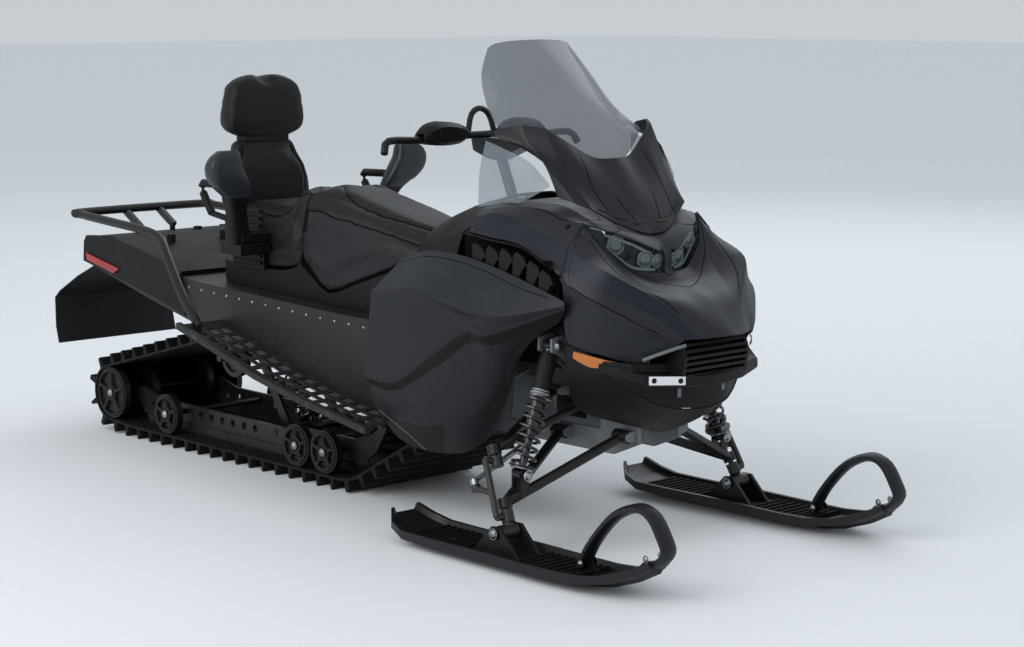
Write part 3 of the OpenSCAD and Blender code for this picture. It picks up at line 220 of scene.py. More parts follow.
    # screen: smoked polycarbonate sheet, polished
    m["screen"] = surface("smoked_polycarbonate", "#5c6369", "#565d63", 0.2, 0.01, 60, 0.01, patch_mm=400,
                          Alpha=0.5, Specular_IOR_Level=0.2)
    m["clear"] = surface("clear_polycarbonate", "#8d969d", "#858e95", 0.15, 0.01, 60, 0.01, patch_mm=400,
                         Alpha=0.42, Specular_IOR_Level=0.3)
    m["lens"] = surface("clear_headlamp_polycarbonate", "#30373d", "#2a3137", 0.1, 0.01, 60, 0.01,
                        patch_mm=400, Alpha=0.13, Specular_IOR_Level=0.4)
    m["deflector"] = surface("gloss_slate_abs_shield", "#303338", "#2b2e33", 0.34, 0.04, 5, 0.03,
                             Specular_IOR_Level=0.35)
    m["lamp_grey"] = surface("pearl_grey_lamp_bezel", "#8a9598", "#7d888c", 0.4, 0.05, 8, 0.03)
    m["bulb"] = surface("polished_projector_glass", "#6f7c7d", "#5d6a6c", 0.05, 0.01, 30, 0.01,
                        Specular_IOR_Level=0.9, Coat_Weight=0.8)


NODE_FINISH = {
    "tunnel": ("tunnel", 1.0), "running_boards": ("board", 0.6), "tail_cover": ("black_pp", 2.0),
    "rear_lamps": ("red", 0.8), "snow_flap": ("flap", 1.0), "cargo_rack": ("powder", 0),
    "track": ("rubber", 1.2), "slide_rails": ("rail", 1.0), "skid_arms": ("powder", 0.8),
    "skid_shocks": ("spring", 0), "idler_wheels": ("wheel", 1.0), "drive_axle": ("powder", 0.8),
    "bulkhead": ("cast", 1.2), "frame_tubes": ("powder", 0), "engine_block": ("engine", 4.0),
    "side_louvres": ("black_pp", 1.0), "grille": ("black_pp", 0.8), "console": ("black_pp", 0),
    "seat_base": ("black_pp", 2.0),
    "suspension_arms": ("powder", 0), "front_shocks": ("spring", 0), "spindle_right": ("forged", 0),
    "spindle_left": ("forged", 0), "ski_right": ("uhmw", 1.5), "ski_left": ("uhmw", 1.5),
    "tie_rod_right": ("steel", 0), "tie_rod_left": ("steel", 0), "handlebar": ("powder", 0),
    "riser": ("powder", 1.0), "bar_controls": ("black_pp", 3.0),
}


# ---------------------------------------------------------------- mesh tools
def body_of_node(node):
    return frame["nodes"][node]["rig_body"]


def merged_copy(node, name, angle=32.0):
    """A CAD node's mesh with its corners merged, smooth across edges under the given angle."""
    src = frame["nodes"][node]
    mesh = src.data.copy()
    mesh.name = name
    bm = bmesh.new()
    bm.from_mesh(mesh)
    bmesh.ops.remove_doubles(bm, verts=bm.verts, dist=2e-5)
    bmesh.ops.dissolve_degenerate(bm, edges=bm.edges, dist=1e-6)
    bmesh.ops.dissolve_limit(bm, angle_limit=math.radians(0.4), verts=bm.verts, edges=bm.edges)
    for f in bm.faces:
        f.smooth = True
    for e in bm.edges:
        e.smooth = len(e.link_faces) == 2 and e.calc_face_angle(0) < math.radians(angle)
    bm.to_mesh(mesh)
    bm.free()
    mesh.materials.clear()
    obj = bpy.data.objects.new(name, mesh)
    bpy.context.scene.collection.objects.link(obj)
    return obj


def bevel(obj, mm, segments=2, angle=40.0):
    mod = obj.modifiers.new("edge_break", "BEVEL")
    mod.width = mm * MM
    mod.segments = segments
    mod.limit_method = "ANGLE"
    mod.angle_limit = math.radians(angle)
    mod.use_clamp_overlap = True
    mod.harden_normals = True
    return mod


def dress(node, finish, bevel_mm=0.0):
    obj = merged_copy(node, node + "_finished")
    obj.data.materials.append(MATERIALS[finish])
    if bevel_mm:
        bevel(obj, bevel_mm)
    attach(obj, body_of_node(node))
    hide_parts(node)
    return obj


def place(name, verts, faces, node, finishes, kinds=None, angle=35.0, replaces=()):
    """Makes a piece from points in mm and faces of corner numbers. kinds gives each face's place
    in finishes. Faces are turned outwards by the sign of the volume they enclose. A face whose
    corner is named twice becomes a triangle."""
    verts = np.asarray(verts, float) * MM
    faces = np.asarray(faces)
    fan = [faces[:, [0, k, k + 1]] for k in range(1, faces.shape[1] - 1)]
    volume = sum(np.einsum("ij,ij->i", verts[f[:, 0]], np.cross(verts[f[:, 1]], verts[f[:, 2]])).sum()
                 for f in fan)
    if volume < 0:
        faces = faces[:, ::-1]
    same = faces == np.roll(faces, -1, axis=1)
    three = same.any(axis=1)
    tris = faces[three][~same[three]].reshape(-1, 3)
    if kinds is not None:
        kinds = np.concatenate([np.asarray(kinds)[~three], np.asarray(kinds)[three]])
    mesh = bpy.data.meshes.new(name)
    mesh.from_pydata(verts.tolist(), [], faces[~three].tolist() + tris.tolist())
    for f in finishes:
        mesh.materials.append(MATERIALS[f])
    if kinds is not None:
        mesh.polygons.foreach_set("material_index", np.asarray(kinds, dtype=np.int32))
    mesh.shade_smooth()
    mesh.set_sharp_from_angle(angle=math.radians(angle))
    mesh.update()
    obj = bpy.data.objects.new(name, mesh)
    bpy.context.scene.collection.objects.link(obj)
    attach(obj, body_of_node(node))
    if replaces:
        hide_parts(*replaces)
    return obj


def joined(parts):
    """Several (points, faces) meshes as one: corner numbers move up by the points before them."""
    starts = np.cumsum([0] + [len(v) for v, f in parts[:-1]])
    return (np.concatenate([v for v, f in parts]),
            np.concatenate([f + s for (v, f), s in zip(parts, starts)]))


def both_sides(part):
    """A (points, faces) mesh and its mirror image across the middle plane."""
    v, f = part
    return joined([(v, f), (v * [1, -1, 1], f[:, ::-1])])


def spline(points, n, creases=()):
    """Catmull-Rom curve along the first axis: between two points it is the cubic whose slope at
    each end is half the step between that end's neighbours. It breaks at the creases."""
    points = np.asarray(points, float)
    cuts = [0, *creases, len(points) - 1]
    runs = []
    for a, b in zip(cuts[:-1], cuts[1:]):
        p = points[a:b + 1]
        lo = np.concatenate([p[:1], p[:-1]])
        hi = np.concatenate([p[1:], p[-1:]])
        t = (np.arange(n) / n).reshape((1, n) + (1,) * (p.ndim - 1))
        p0, p1, p2, p3 = (q[:, None] for q in (lo[:-1], p[:-1], p[1:], hi[1:]))
        q = 0.5 * (2 * p1 + (p2 - p0) * t + (2 * p0 - 5 * p1 + 4 * p2 - p3) * t ** 2
                   + (3 * p1 - p0 - 3 * p2 + p3) * t ** 3)
        runs.append(q.reshape((-1,) + p.shape[1:]))
    return np.concatenate([*runs, points[-1:]])


def net(rows, nu, nv, row_creases=(), col_creases=()):
    """Smooth grid through a table of points: splines down the columns, then across the rows."""
    g = spline(np.asarray(rows, float), nu, row_creases)
    return spline(g.swapaxes(0, 1), nv, col_creases).swapaxes(0, 1)


def whole(half):
    """A half table with its mirror image in front, so that its first column is the middle."""
    half = np.asarray(half, float)
    return np.concatenate([(half * [1, -1, 1])[:, :0:-1], half], axis=1)


def normals_of(g):
    """Unit normals of a grid: the cross product of its two central differences."""
    du = np.gradient(g, axis=0)
    dv = np.gradient(g, axis=1)
    n = np.cross(du, dv)
    return n / np.maximum(np.linalg.norm(n, axis=2, keepdims=True), 1e-9)


def ring_faces(m, n):
    """Corner numbers of m rings of n points, the same numbers one place on, and the quads between
    each ring and the next."""
    k = np.arange(m * n).reshape(m, n)
    nxt = np.roll(k, -1, axis=1)
    return k, nxt, np.stack([k[:-1], nxt[:-1], nxt[1:], k[1:]], axis=-1).reshape(-1, 4)


def lofted(g, flip=False):
    """A closed body through a grid of rings: quads between them, and a fan over each end. flip
    turns both fans round."""
    k, _, quads = ring_faces(*g.shape[:2])
    caps = (k[0][::-1], k[-1]) if flip else (k[0], k[-1][::-1])
    ends = [[c[0], c[i], c[i + 1], c[i + 1]] for c in caps for i in range(1, len(c) - 1)]
    return g.reshape(-1, 3), np.concatenate([quads, np.array(ends)])


def tube(path, radius, n=10, side=(0, 0, 1), flat=1.0, caps=True):
    """A closed tube: an ellipse of the given radius, flattened along side, carried down a path."""
    path = np.asarray(path, float)
    ahead = np.gradient(path, axis=0)
    ahead /= np.linalg.norm(ahead, axis=1, keepdims=True)
    across = np.cross(ahead, np.asarray(side, float))
    across /= np.maximum(np.linalg.norm(across, axis=1, keepdims=True), 1e-9)
    up = np.cross(across, ahead)
    a = 2 * np.pi * np.arange(n) / n
    radius = np.broadcast_to(np.asarray(radius, float), (len(path),))[:, None, None]
    rings = path[:, None] + radius * (np.cos(a)[None, :, None] * across[:, None]
                                      + flat * np.sin(a)[None, :, None] * up[:, None])
    m = len(path)
    k, nxt, faces = ring_faces(m, n)
    verts = rings.reshape(-1, 3)
    if caps:
        verts = np.concatenate([verts, path[:1], path[-1:]])
        first, last = m * n, m * n + 1
        faces = np.concatenate([faces,
                                np.stack([np.full(n, first), np.full(n, first), nxt[0], k[0]], -1),
                                np.stack([np.full(n, last), np.full(n, last), k[-1], nxt[-1]], -1)])
    return verts, faces


# ---------------------------------------------------------------- forms shared by several pieces
# Right half of the cowl: rows run from its rear edge to the nose's tip, columns from the middle out
COWL = whole([
    [[640, 0, 930], [640, 45, 930], [640, 110, 929], [642, 185, 924], [650, 230, 915],
     [662, 262, 900], [690, 300, 864], [692, 308, 858], [693, 310, 854], [694, 310, 850]],
    [[790, 0, 945], [790, 45, 945], [790, 110, 943], [786, 185, 940], [782, 235, 931],
     [779, 270, 914], [790, 308, 856], [792, 316, 850], [793, 318, 846], [794, 318, 842]],
    [[930, 0, 938], [930, 45, 938], [928, 110, 940], [922, 185, 945], [915, 236, 932],
     [906, 278, 888], [912, 312, 846], [914, 319, 840], [915, 321, 836], [916, 321, 832]],
    [[1050, 0, 895], [1048, 45, 897], [1035, 110, 903], [1012, 185, 920], [990, 232, 912],
     [985, 280, 868], [1000, 314, 812], [1003, 321, 805], [1004, 323, 801], [1005, 323, 797]],
    [[1150, 0, 822], [1156, 45, 829], [1132, 110, 858], [1090, 185, 888], [1052, 222, 904],
     [1058, 282, 845], [1072, 318, 785], [1075, 324, 776], [1076, 326, 770], [1077, 326, 765]],
    [[1160, 0, 764], [1160, 45, 766], [1136, 110, 776], [1108, 185, 838], [1062, 226, 893],
     [1078, 284, 836], [1095, 318, 777], [1106, 325, 748], [1086, 300, 650], [1060, 286, 588]],
    [[1228, 0, 736], [1226, 45, 736], [1214, 100, 743], [1192, 160, 758], [1188, 208, 776],
     [1201, 269, 786], [1194, 286, 737], [1202, 301, 705], [1190, 276, 624], [1160, 263, 563]],
    [[1300, 0, 702], [1308, 40, 696], [1306, 80, 699], [1299, 112, 704], [1293, 136, 707],
     [1287, 158, 706], [1290, 190, 672], [1296, 208, 640], [1262, 224, 618], [1250, 205, 546]],
    [[1402, 0, 618], [1398, 30, 617], [1390, 55, 615], [1380, 72, 613], [1374, 84, 612],
     [1368, 92, 611], [1345, 130, 610], [1346, 140, 606], [1338, 142, 600], [1330, 136, 592]]])
FAIRING = whole([
    [[955, 0, 1066], [938, 70, 1070], [909, 150, 1117], [886, 210, 1154], [835, 250, 1161], [772, 274, 1150]],
    [[1000, 0, 1012], [985, 72, 1018], [957, 148, 1060], [925, 206, 1090], [860, 247, 1112], [766, 277, 1128]],
    [[1048, 0, 952], [1034, 74, 960], [1004, 142, 988], [975, 192, 1012], [940, 224, 1040], [896, 246, 1086]],
    [[1108, 0, 866], [1106, 50, 873], [1080, 112, 897], [1050, 182, 938], [1004, 210, 955], [960, 227, 968]]])
SCREEN = whole([
    [[932, 0, 1050], [916, 68, 1054], [888, 146, 1100], [858, 200, 1136], [790, 236, 1140], [745, 246, 1138]],
    [[846, 0, 1180], [834, 66, 1183], [806, 132, 1190], [764, 184, 1198], [716, 212, 1202], [672, 226, 1204]],
    [[742, 0, 1286], [733, 62, 1288], [711, 122, 1290], [678, 170, 1292], [650, 190, 1290], [622, 203, 1288]],
    [[634, 0, 1388], [629, 52, 1387], [622, 104, 1384], [612, 142, 1378], [606, 152, 1372], [600, 160, 1364]]])
WING = np.array([
    [[735, 290, 1116], [800, 286, 1098], [890, 268, 1062], [950, 246, 1000]],
    [[722, 300, 1030], [775, 300, 1020], [850, 290, 1000], [905, 274, 968]],
    [[716, 300, 930], [765, 300, 938], [815, 295, 948], [862, 284, 950]]], float)
# Side panel, from its rear edge to its front tip, rows down from the top edge
SIDE = np.array([
    [[428, 330, 761], [542, 332, 794], [690, 332, 793], [820, 331, 772], [930, 331, 748], [1097, 330, 705]],
    [[384, 412, 669], [568, 424, 698], [690, 428, 680], [800, 424, 662], [920, 404, 654], [1098, 331, 696]],
    [[343, 405, 418], [482, 408, 421], [640, 412, 511], [792, 408, 601], [868, 402, 598], [1096, 328, 688]],
    [[350, 386, 396], [466, 392, 394], [640, 395, 478], [785, 390, 568], [870, 380, 572], [1066, 316, 655]],
    [[352, 374, 330], [480, 378, 318], [620, 370, 330], [760, 350, 380], [840, 325, 450], [890, 300, 540]],
    [[410, 334, 238], [480, 325, 220], [570, 312, 216], [670, 302, 232], [750, 294, 280], [838, 284, 362]]],
    float)
BELLY = whole([
    [[1150, 0, 322], [1140, 100, 347], [1100, 168, 368], [1042, 232, 402], [1054, 278, 496], [1058, 285, 582]],
    [[1215, 0, 352], [1205, 100, 366], [1178, 180, 400], [1150, 232, 450], [1154, 262, 505], [1158, 263, 556]],
    [[1295, 0, 408], [1285, 95, 416], [1258, 160, 436], [1240, 200, 464], [1246, 206, 500], [1248, 205, 539]]])
PANEL_T = 5.0       # wall of a moulded panel
# axles with idler wheels, as x, z and the wheels' radius: the rear one, then the three lower ones
WHEELS = ((-1268.0, 140.0, 90), (-931.0, 110.5, 68), (-208.0, 110.5, 68), (-65.0, 110.5, 68))
WHEEL_FACE = 248    # y of the outer wheels' outer faces
SKI_Y = 465.0       # y of a ski's middle
SHOCK_TOP, SHOCK_LOW = np.array([986, 275, 571.0]), np.array([997, 400, 232.0])
# points inside a group of panels, from which their outer side faces away
COWL_MID, SIDE_MID = np.array([900, 0, 500]), np.array([700, 0, 500])
FAIRING_MID = np.array([700, 0, 900])
EDGE = 9            # columns from the cowl's middle to its edge
FINE = 6            # steps of the smooth grids between two points of a table

cowl = net(COWL, FINE, FINE, col_creases=(1, 2, 3, 4, 5, 6, 12, 13, 14, 15, 16, 17))
fairing = net(FAIRING, FINE, FINE, col_creases=(1, 2, 3, 7, 8, 9))
screen = net(SCREEN, FINE, FINE, col_creases=(2, 8))
side = net(SIDE, FINE * 2, FINE * 2, row_creases=(1, 2, 3))
belly = net(BELLY, FINE, FINE, col_creases=(3, 7))


def part(g, i0, i1, j0, j1, d=1.0):
    """Part of a grid, its own edges drawn in by d mm."""
    q = g[i0:i1 + 1, j0:j1 + 1].copy()
    for a, b in (((0, slice(None)), (1, slice(None))), ((-1, slice(None)), (-2, slice(None))),
                 ((slice(None), 0), (slice(None), 1)), ((slice(None), -1), (slice(None), -2))):
        step = q[b] - q[a]
        q[a] += d * step / np.maximum(np.linalg.norm(step, axis=1, keepdims=True), 1e-6)
    return q


def out_normals(g, centre):
    """Normals of a grid, turned to point away from a centre."""
    n = normals_of(g)
    return n if (n * (g - centre)).sum() > 0 else -n


def shell(g, t, centre, lift=0.0):
    """Closed wall of thickness t whose outer face is the grid moved outwards by lift."""
    n = out_normals(g, centre)
    a, b = g + lift * n, g + (lift - t) * n
    r, c = g.shape[:2]
    k = np.arange(r * c).reshape(r, c)
    s = r * c
    quads = np.stack([k[:-1, :-1], k[:-1, 1:], k[1:, 1:], k[1:, :-1]], axis=-1).reshape(-1, 4)
    rims = [np.stack([l[1:], l[:-1], l[:-1] + s, l[1:] + s], axis=-1)[:, ::t]
            for l, t in ((k[0], 1), (k[-1], -1), (k[:, 0], -1), (k[:, -1], 1))]
    return (np.concatenate([a.reshape(-1, 3), b.reshape(-1, 3)]),
            np.concatenate([quads, (quads + s)[:, ::-1], *rims]))


def kinds_of(g, column_kind):
    """Finish number of each face of a shell on this grid: by column on both faces, 0 on the rims."""
    r, c = g.shape[0] - 1, g.shape[1] - 1
    face = np.tile(np.asarray(column_kind), (r, 1)).ravel()
    return np.concatenate([face, face, np.zeros(2 * (r + c), int)])


def line_on(g, n, us, vs, steps=40, lift=0.0):
    """Points and normals along a smooth line on a grid: us and vs are row and column numbers
    of its corners, and a place between grid points is the mean weighted by nearness."""
    uv = spline(np.stack([us, vs], axis=1), steps)
    u = np.clip(uv[:, 0], 0, g.shape[0] - 1.001)
    v = np.clip(uv[:, 1], 0, g.shape[1] - 1.001)
    i, j = u.astype(int), v.astype(int)
    a, b = (u - i)[:, None], (v - j)[:, None]

    def at(q):
        return (q[i, j] * (1 - a) * (1 - b) + q[i + 1, j] * a * (1 - b)
                + q[i, j + 1] * (1 - a) * b + q[i + 1, j + 1] * a * b)
    m = at(n)
    m /= np.linalg.norm(m, axis=1, keepdims=True)
    return at(g) + lift * m, m


def ribbon(points, normals, width, height):
    """A flat half-buried band: an ellipse of width by height carried down a line on a surface."""
    return tube(points, width / 2, 8, side=normals, flat=height / width)


def stitches(points, normals, pitch, length, thick):
    """A row of short threads: each is an eight-corner spindle lying along the line every pitch mm."""
    step = np.linalg.norm(np.diff(points, axis=0), axis=1)
    s = np.concatenate([[0], np.cumsum(step)])
    at = np.arange(pitch / 2, s[-1] - length, pitch)
    mid = np.stack([np.interp(at, s, points[:, k]) for k in range(3)], axis=1)
    far = np.stack([np.interp(at + length, s, points[:, k]) for k in range(3)], axis=1)
    up = np.stack([np.interp(at, s, normals[:, k]) for k in range(3)], axis=1)
    ahead = (far - mid) / length
    across = np.cross(ahead, up)
    r = thick / 2
    ring = [mid + up * r * 0.2 + across * 0, far + up * r * 0.2]
    body = [(mid * (1 - f) + far * f) + r * (a * across + b * up)
            for f in (0.2, 0.8) for a, b in ((1, 0.3), (0, 1.2), (-1, 0.3), (0, -0.6))]
    verts = np.stack([ring[0], *body, ring[1]], axis=1)
    quads = [[0, 0, 2, 1], [0, 0, 3, 2], [0, 0, 4, 3], [0, 0, 1, 4], [1, 2, 6, 5], [2, 3, 7, 6],
             [3, 4, 8, 7], [4, 1, 5, 8], [5, 6, 9, 9], [6, 7, 9, 9], [7, 8, 9, 9], [8, 5, 9, 9]]
    faces = (np.array(quads)[None] + 10 * np.arange(len(at))[:, None, None]).reshape(-1, 4)
    return verts.reshape(-1, 3), faces


COWL_N = out_normals(cowl, COWL_MID)
SIDE_N = out_normals(side, SIDE_MID)
FAIR_N = out_normals(fairing, FAIRING_MID)


def cr(i):
    """Row of the fine cowl grid for row i of its table."""
    return i * FINE


def cc(j):
    """Column of the fine cowl grid for column j from the middle."""
    return (j + EDGE) * FINE


def cowl_line(us, vs, steps, lift=0.0):
    """Points and normals of a line on the cowl: us are rows of its table, vs columns from the
    middle."""
    return line_on(cowl, COWL_N, np.array(us) * FINE, (np.array(vs) + EDGE) * FINE, steps, lift)


# ---------------------------------------------------------------- settings
class SnowmobileSettings(bpy.types.PropertyGroup):
    floor_color: FloatVectorProperty(name="Floor", description="Colour of the studio floor", subtype="COLOR",
                                     size=3, min=0, max=1, default=(0.90, 0.92, 0.94))
    sky_color: FloatVectorProperty(name="Sky", description="Colour of the soft light from all round",
                                   subtype="COLOR", size=3, min=0, max=1, default=(0.90, 0.95, 1.0))
    sky_power: FloatProperty(name="Sky strength", description="Strength of the soft light", default=0.64, min=0)
    key_power: FloatProperty(name="Key light", description="Power of the key light, in watts",
                             default=330.0, min=0)
    pad_voxel: FloatProperty(name="Pad voxel", description="Mesh size of the cushions", default=0.006,
                             min=0.003, max=0.02, unit="LENGTH", subtype="DISTANCE")
    pad_puff: FloatProperty(name="Pad puff", description="The most that a cushion's cover swells",
                            default=0.012, min=0, max=0.03, unit="LENGTH", subtype="DISTANCE")
    stitch_pitch: FloatProperty(name="Stitch pitch", description="Distance between stitches, in mm",
                                default=6.0, min=2, max=15)
    tread_bars: IntProperty(name="Ski tread bars", description="Bars in each of a ski's two tread pads",
                            default=9, min=3, max=16)


# ---------------------------------------------------------------- operators: finishes and panels
def block(lo, hi):
    """A box as an 8-corner mesh."""
    x, y, z = zip(lo, hi)
    v = np.array([[a, b, c] for a in x for b in y for c in z], float)
    f = np.array([[0, 1, 3, 2], [4, 6, 7, 5], [0, 4, 5, 1], [2, 3, 7, 6], [0, 2, 6, 4], [1, 5, 7, 3]])
    return v, f


def repaint(obj, finish, test):
    """Gives another finish to the faces whose centre, in mm, passes the test."""
    mesh = obj.data
    c = np.empty(len(mesh.polygons) * 3)
    mesh.polygons.foreach_get("center", c)
    kind = np.empty(len(mesh.polygons), np.int32)
    mesh.polygons.foreach_get("material_index", kind)
    mesh.materials.append(MATERIALS[finish])
    kind[test(c.reshape(-1, 3) / MM)] = len(mesh.materials) - 1
    mesh.polygons.foreach_set("material_index", kind)


class SNOWMOBILE_OT_finishes(bpy.types.Operator):
    """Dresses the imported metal, rubber and plain moulded nodes with their finishes and broken edges"""
    bl_idname = "snowmobile.finishes"
    bl_label = "Node finishes"

    def execute(self, context):
        make_materials()
        made = {node: dress(node, finish, mm) for node, (finish, mm) in NODE_FINISH.items()}
        repaint(made["tunnel"], "tunnel_band",
                lambda c: (np.abs(c[:, 1]) > 272) & (c[:, 2] > 632) & (c[:, 0] < 460) & (c[:, 0] > -900))
        repaint(made["snow_flap"], "flap_band", lambda c: c[:, 2] < 400)
        return {"FINISHED"}


class SNOWMOBILE_OT_cowl(bpy.types.Operator):
    """Makes the hood and nose with their navy bands, the painted shade in their panel gaps and lines, a painted
    highlight along each cheek's front, and the latches on them
    """
    bl_idname = "snowmobile.cowl"
    bl_label = "Hood and nose"

    def execute(self, context):
        centre = COWL_MID
        band = np.array([1 if (5 <= c < 6) or (-6 <= c < -5) else 0
                         for c in (np.arange(2 * EDGE * FINE) / FINE - EDGE)])
        g = part(cowl, cr(0), cr(4), cc(-EDGE), cc(EDGE))
        v, f = shell(g, PANEL_T, centre)
        hood = place("hood_shell", v, f, "hood", ("hood_abs", "navy"), kinds_of(g, band), replaces=("hood",))
        bevel(hood, 1.2, angle=60)
        parts, kinds = [], []
        for i0, i1, j0, j1 in ((cr(5), cr(8), cc(-EDGE), cc(EDGE)), (cr(4), cr(5), cc(4), cc(EDGE)),
                               (cr(4), cr(5), cc(-EDGE), cc(-4))):
            g = part(cowl, i0, i1, j0, j1, 0.6)
            parts.append(shell(g, PANEL_T, centre))
            kinds.append(kinds_of(g, band[j0:j1]))
        v, f = joined(parts)
        nose = place("nose_shell", v, f, "nose", ("hood_abs", "navy"), np.concatenate(kinds),
                     replaces=("nose",))
        bevel(nose, 1.2, angle=60)
        # painted shade: near-black sheets under the panels, seen through their gaps, and standing as the engine
        # bay's side walls
        liner = [shell(part(cowl, i0, i1, j0, j1, 4.0), 2.0, centre, lift=-14.0)
                 for i0, i1, j0, j1 in ((cr(0), cr(4) - 3, cc(-8), cc(8)),
                                        (cr(5) + 2, cr(8) - 2, cc(-6), cc(6)))]
        place("panel_gap_shade_sheets", *joined(liner), "hood", ("seam",))
        walls = both_sides(joined([block((640, 276, 640), (1040, 282, 838)),
                                   block((1040, 276, 600), (1078, 282, 760))]))
        place("bay_shade_walls", *walls, "bulkhead", ("seam",))
        # painted shade: a near-black block behind the grille's openings
        place("grille_shade_backing", *block((1238, -150, 480), (1268, 150, 600)), "grille", ("seam",))
        lines = []
        # painted shade as near-black ribbons in the panel gaps: the access panel in front of the bars, and the two
        # seams that run down the hood
        for us, vs in (((1.1, 2.9, 3.35, 3.1, 2.4, 1.1, 1.1), (3.9, 4.1, 3.6, 2.4, 2.2, 2.6, 3.9)),
                       ((0.1, 1.2, 2.4, 3.4, 3.98), (1.5, 1.6, 1.7, 2.0, 2.6))):
            p, n = cowl_line(us, vs, 12)
            lines.append(ribbon(p, n, 3.0, 1.0))
        v, f = both_sides(joined(lines))
        place("hood_seam_shade", v, f, "hood", ("seam",))
        # painted shade as near-black ribbons in the nose's panel gaps
        lines = []
        for us, vs in (((5.05, 5.6, 6.4, 7.2), (6.95, 7.0, 7.0, 7.1)),
                       ((5.25, 5.9, 6.6, 7.3), (4.2, 4.3, 4.4, 4.5)),
                       ((5.1, 5.35, 5.8, 6.2), (3.9, 3.0, 1.6, 0.0))):
            p, n = cowl_line(us, vs, 12)
            lines.append(ribbon(p, n, 3.0, 1.0))
        v, f = both_sides(joined(lines))
        place("nose_seam_shade", v, f, "nose", ("seam",))
        # painted highlight: a pale grey band along the front of the cheek, beside the grille
        path = spline([[1272, 214, 556], [1298, 190, 570], [1336, 146, 590], [1348, 128, 596]], 8)
        v, f = both_sides(tube(path, 4.5, 8, side=(0.7, 0.7, 0.1), flat=0.4))
        place("cheek_painted_highlights", v, f, "nose", ("edge_highlight_grey",))
        # latches: a low oval button on the hood
        p, n = cowl_line([3.3, 3.42], [4.3, 4.35], 6, lift=1.0)
        v, f = both_sides(ribbon(p, n, 17.0, 7.0))
        place("hood_latches", v, f, "hood", ("black_pp",))
        return {"FINISHED"}


def dome(centre, axis, radius, height, rings=7, n=24):
    """A lens or bolt head: a circle whose radius falls as the cosine and whose height rises as
    the sine of the same angle, closed at the pole and flat underneath."""
    centre, axis = np.asarray(centre, float), np.asarray(axis, float)
    axis = axis / np.linalg.norm(axis)
    u = np.cross(axis, [0, 0, 1.0] if abs(axis[2]) < 0.9 else [1.0, 0, 0])
    u /= np.linalg.norm(u)
    w = np.cross(axis, u)
    a = 2 * np.pi * np.arange(n) / n
    t = np.linspace(0, np.pi / 2 * 0.96, rings)
    ring = np.cos(a)[:, None] * u + np.sin(a)[:, None] * w
    pts = centre + radius * np.cos(t)[:, None, None] * ring + height * np.sin(t)[:, None, None] * axis
    k, nxt, quads = ring_faces(rings, n)
    faces = [quads]
    base, top = rings * n, rings * n + 1
    faces.append(np.stack([np.full(n, base), np.full(n, base), nxt[0], k[0]], -1))
    faces.append(np.stack([np.full(n, top), np.full(n, top), k[-1], nxt[-1]], -1))
    return np.concatenate([pts.reshape(-1, 3), [centre], [centre + height * axis]]), np.concatenate(faces)


def ring(centre, axis, radius, thick, n=28, m=8):
    """A torus: a small circle of the given thickness carried round a big one."""
    centre, axis = np.asarray(centre, float), np.asarray(axis, float)
    axis = axis / np.linalg.norm(axis)
    u = np.cross(axis, [0, 0, 1.0] if abs(axis[2]) < 0.9 else [1.0, 0, 0])
    u /= np.linalg.norm(u)
    w = np.cross(axis, u)
    a = (2 * np.pi * np.arange(n) / n)[:, None, None]
    b = (2 * np.pi * np.arange(m) / m)[None, :, None]
    out = np.cos(a) * u + np.sin(a) * w
    pts = centre + (radius + thick * np.cos(b)) * out + thick * np.sin(b) * axis
    k = np.arange(n * m).reshape(n, m)
    right, down = np.roll(k, -1, axis=1), np.roll(k, -1, axis=0)
    both = np.roll(down, -1, axis=1)
    return pts.reshape(-1, 3), np.stack([k, down, both, right], axis=-1).reshape(-1, 4)


class SNOWMOBILE_OT_lamps(bpy.types.Operator):
    """Makes the headlamps: clear lenses, dark housings, pale bezels and projectors, and their bridge"""
    bl_idname = "snowmobile.lamps"
    bl_label = "Headlamps"

    def execute(self, context):
        centre = COWL_MID
        lens, bowl, bright, glass, rims = [], [], [], [], []
        for j0, j1 in ((cc(0), cc(4)), (cc(-4), cc(0))):
            g = part(cowl, cr(4), cr(5), j0, j1, 1.2)
            lens.append(shell(g, 3.0, centre))
            g = part(cowl, cr(4), cr(5), max(j0, cc(-3) - 2), min(j1, cc(3) + 2), 5.0)
            bowl.append(shell(g, 14.0, centre, lift=-20.0))
            k0, k1 = (cc(3), cc(4)) if j0 >= cc(0) else (cc(-4), cc(-3))
            bowl.append(shell(part(cowl, cr(4), cr(5), k0, k1, 1.5), 2.0, centre, lift=-6.0))
        # pale bezel strips above and below the projectors, on both sides
        for us, vs in (((4.2, 4.16, 4.2), (3.3, 2.3, 1.4)), ((4.8, 4.86, 4.84), (2.9, 1.9, 0.9))):
            p, n = cowl_line(us, vs, 10, lift=-13.0)
            bright.append(ribbon(p, n, 8.0, 3.0))
        for u, c, r in ((4.5, 2.5, 23), (4.55, 1.45, 21), (4.5, 0.6, 15)):
            p, n = cowl_line([u, u + 0.01], [c, c], 1, lift=-19.0)
            ahead = n[0] + np.array([0.9, 0, 0])
            glass.append(dome(p[0], ahead, r, 9))
            rims.append(ring(p[0] + 2 * n[0], ahead, r + 2.0, 3.4))
        # a body-coloured bridge parts the two lamps over the middle plane
        bridge = shell(part(cowl, cr(4) - 1, cr(5) + 1, cc(0) - 2, cc(0) + 2), 5.0, centre, lift=2.5)
        place("headlamp_bridge", *bridge, "headlights", ("hood_abs",))
        for name, parts, finish in (("headlamp_bowls", joined(bowl), "navy"),
                                    ("headlamp_strips", both_sides(joined(bright)), "lamp_grey"),
                                    ("headlamp_projectors", both_sides(joined(glass)), "bulb"),
                                    ("headlamp_bezels", both_sides(joined(rims)), "lamp_grey")):
            place(name, *parts, "headlights", (finish,))
        place("headlamp_lenses", *joined(lens), "headlights", ("lens",), replaces=("headlights",))
        return {"FINISHED"}


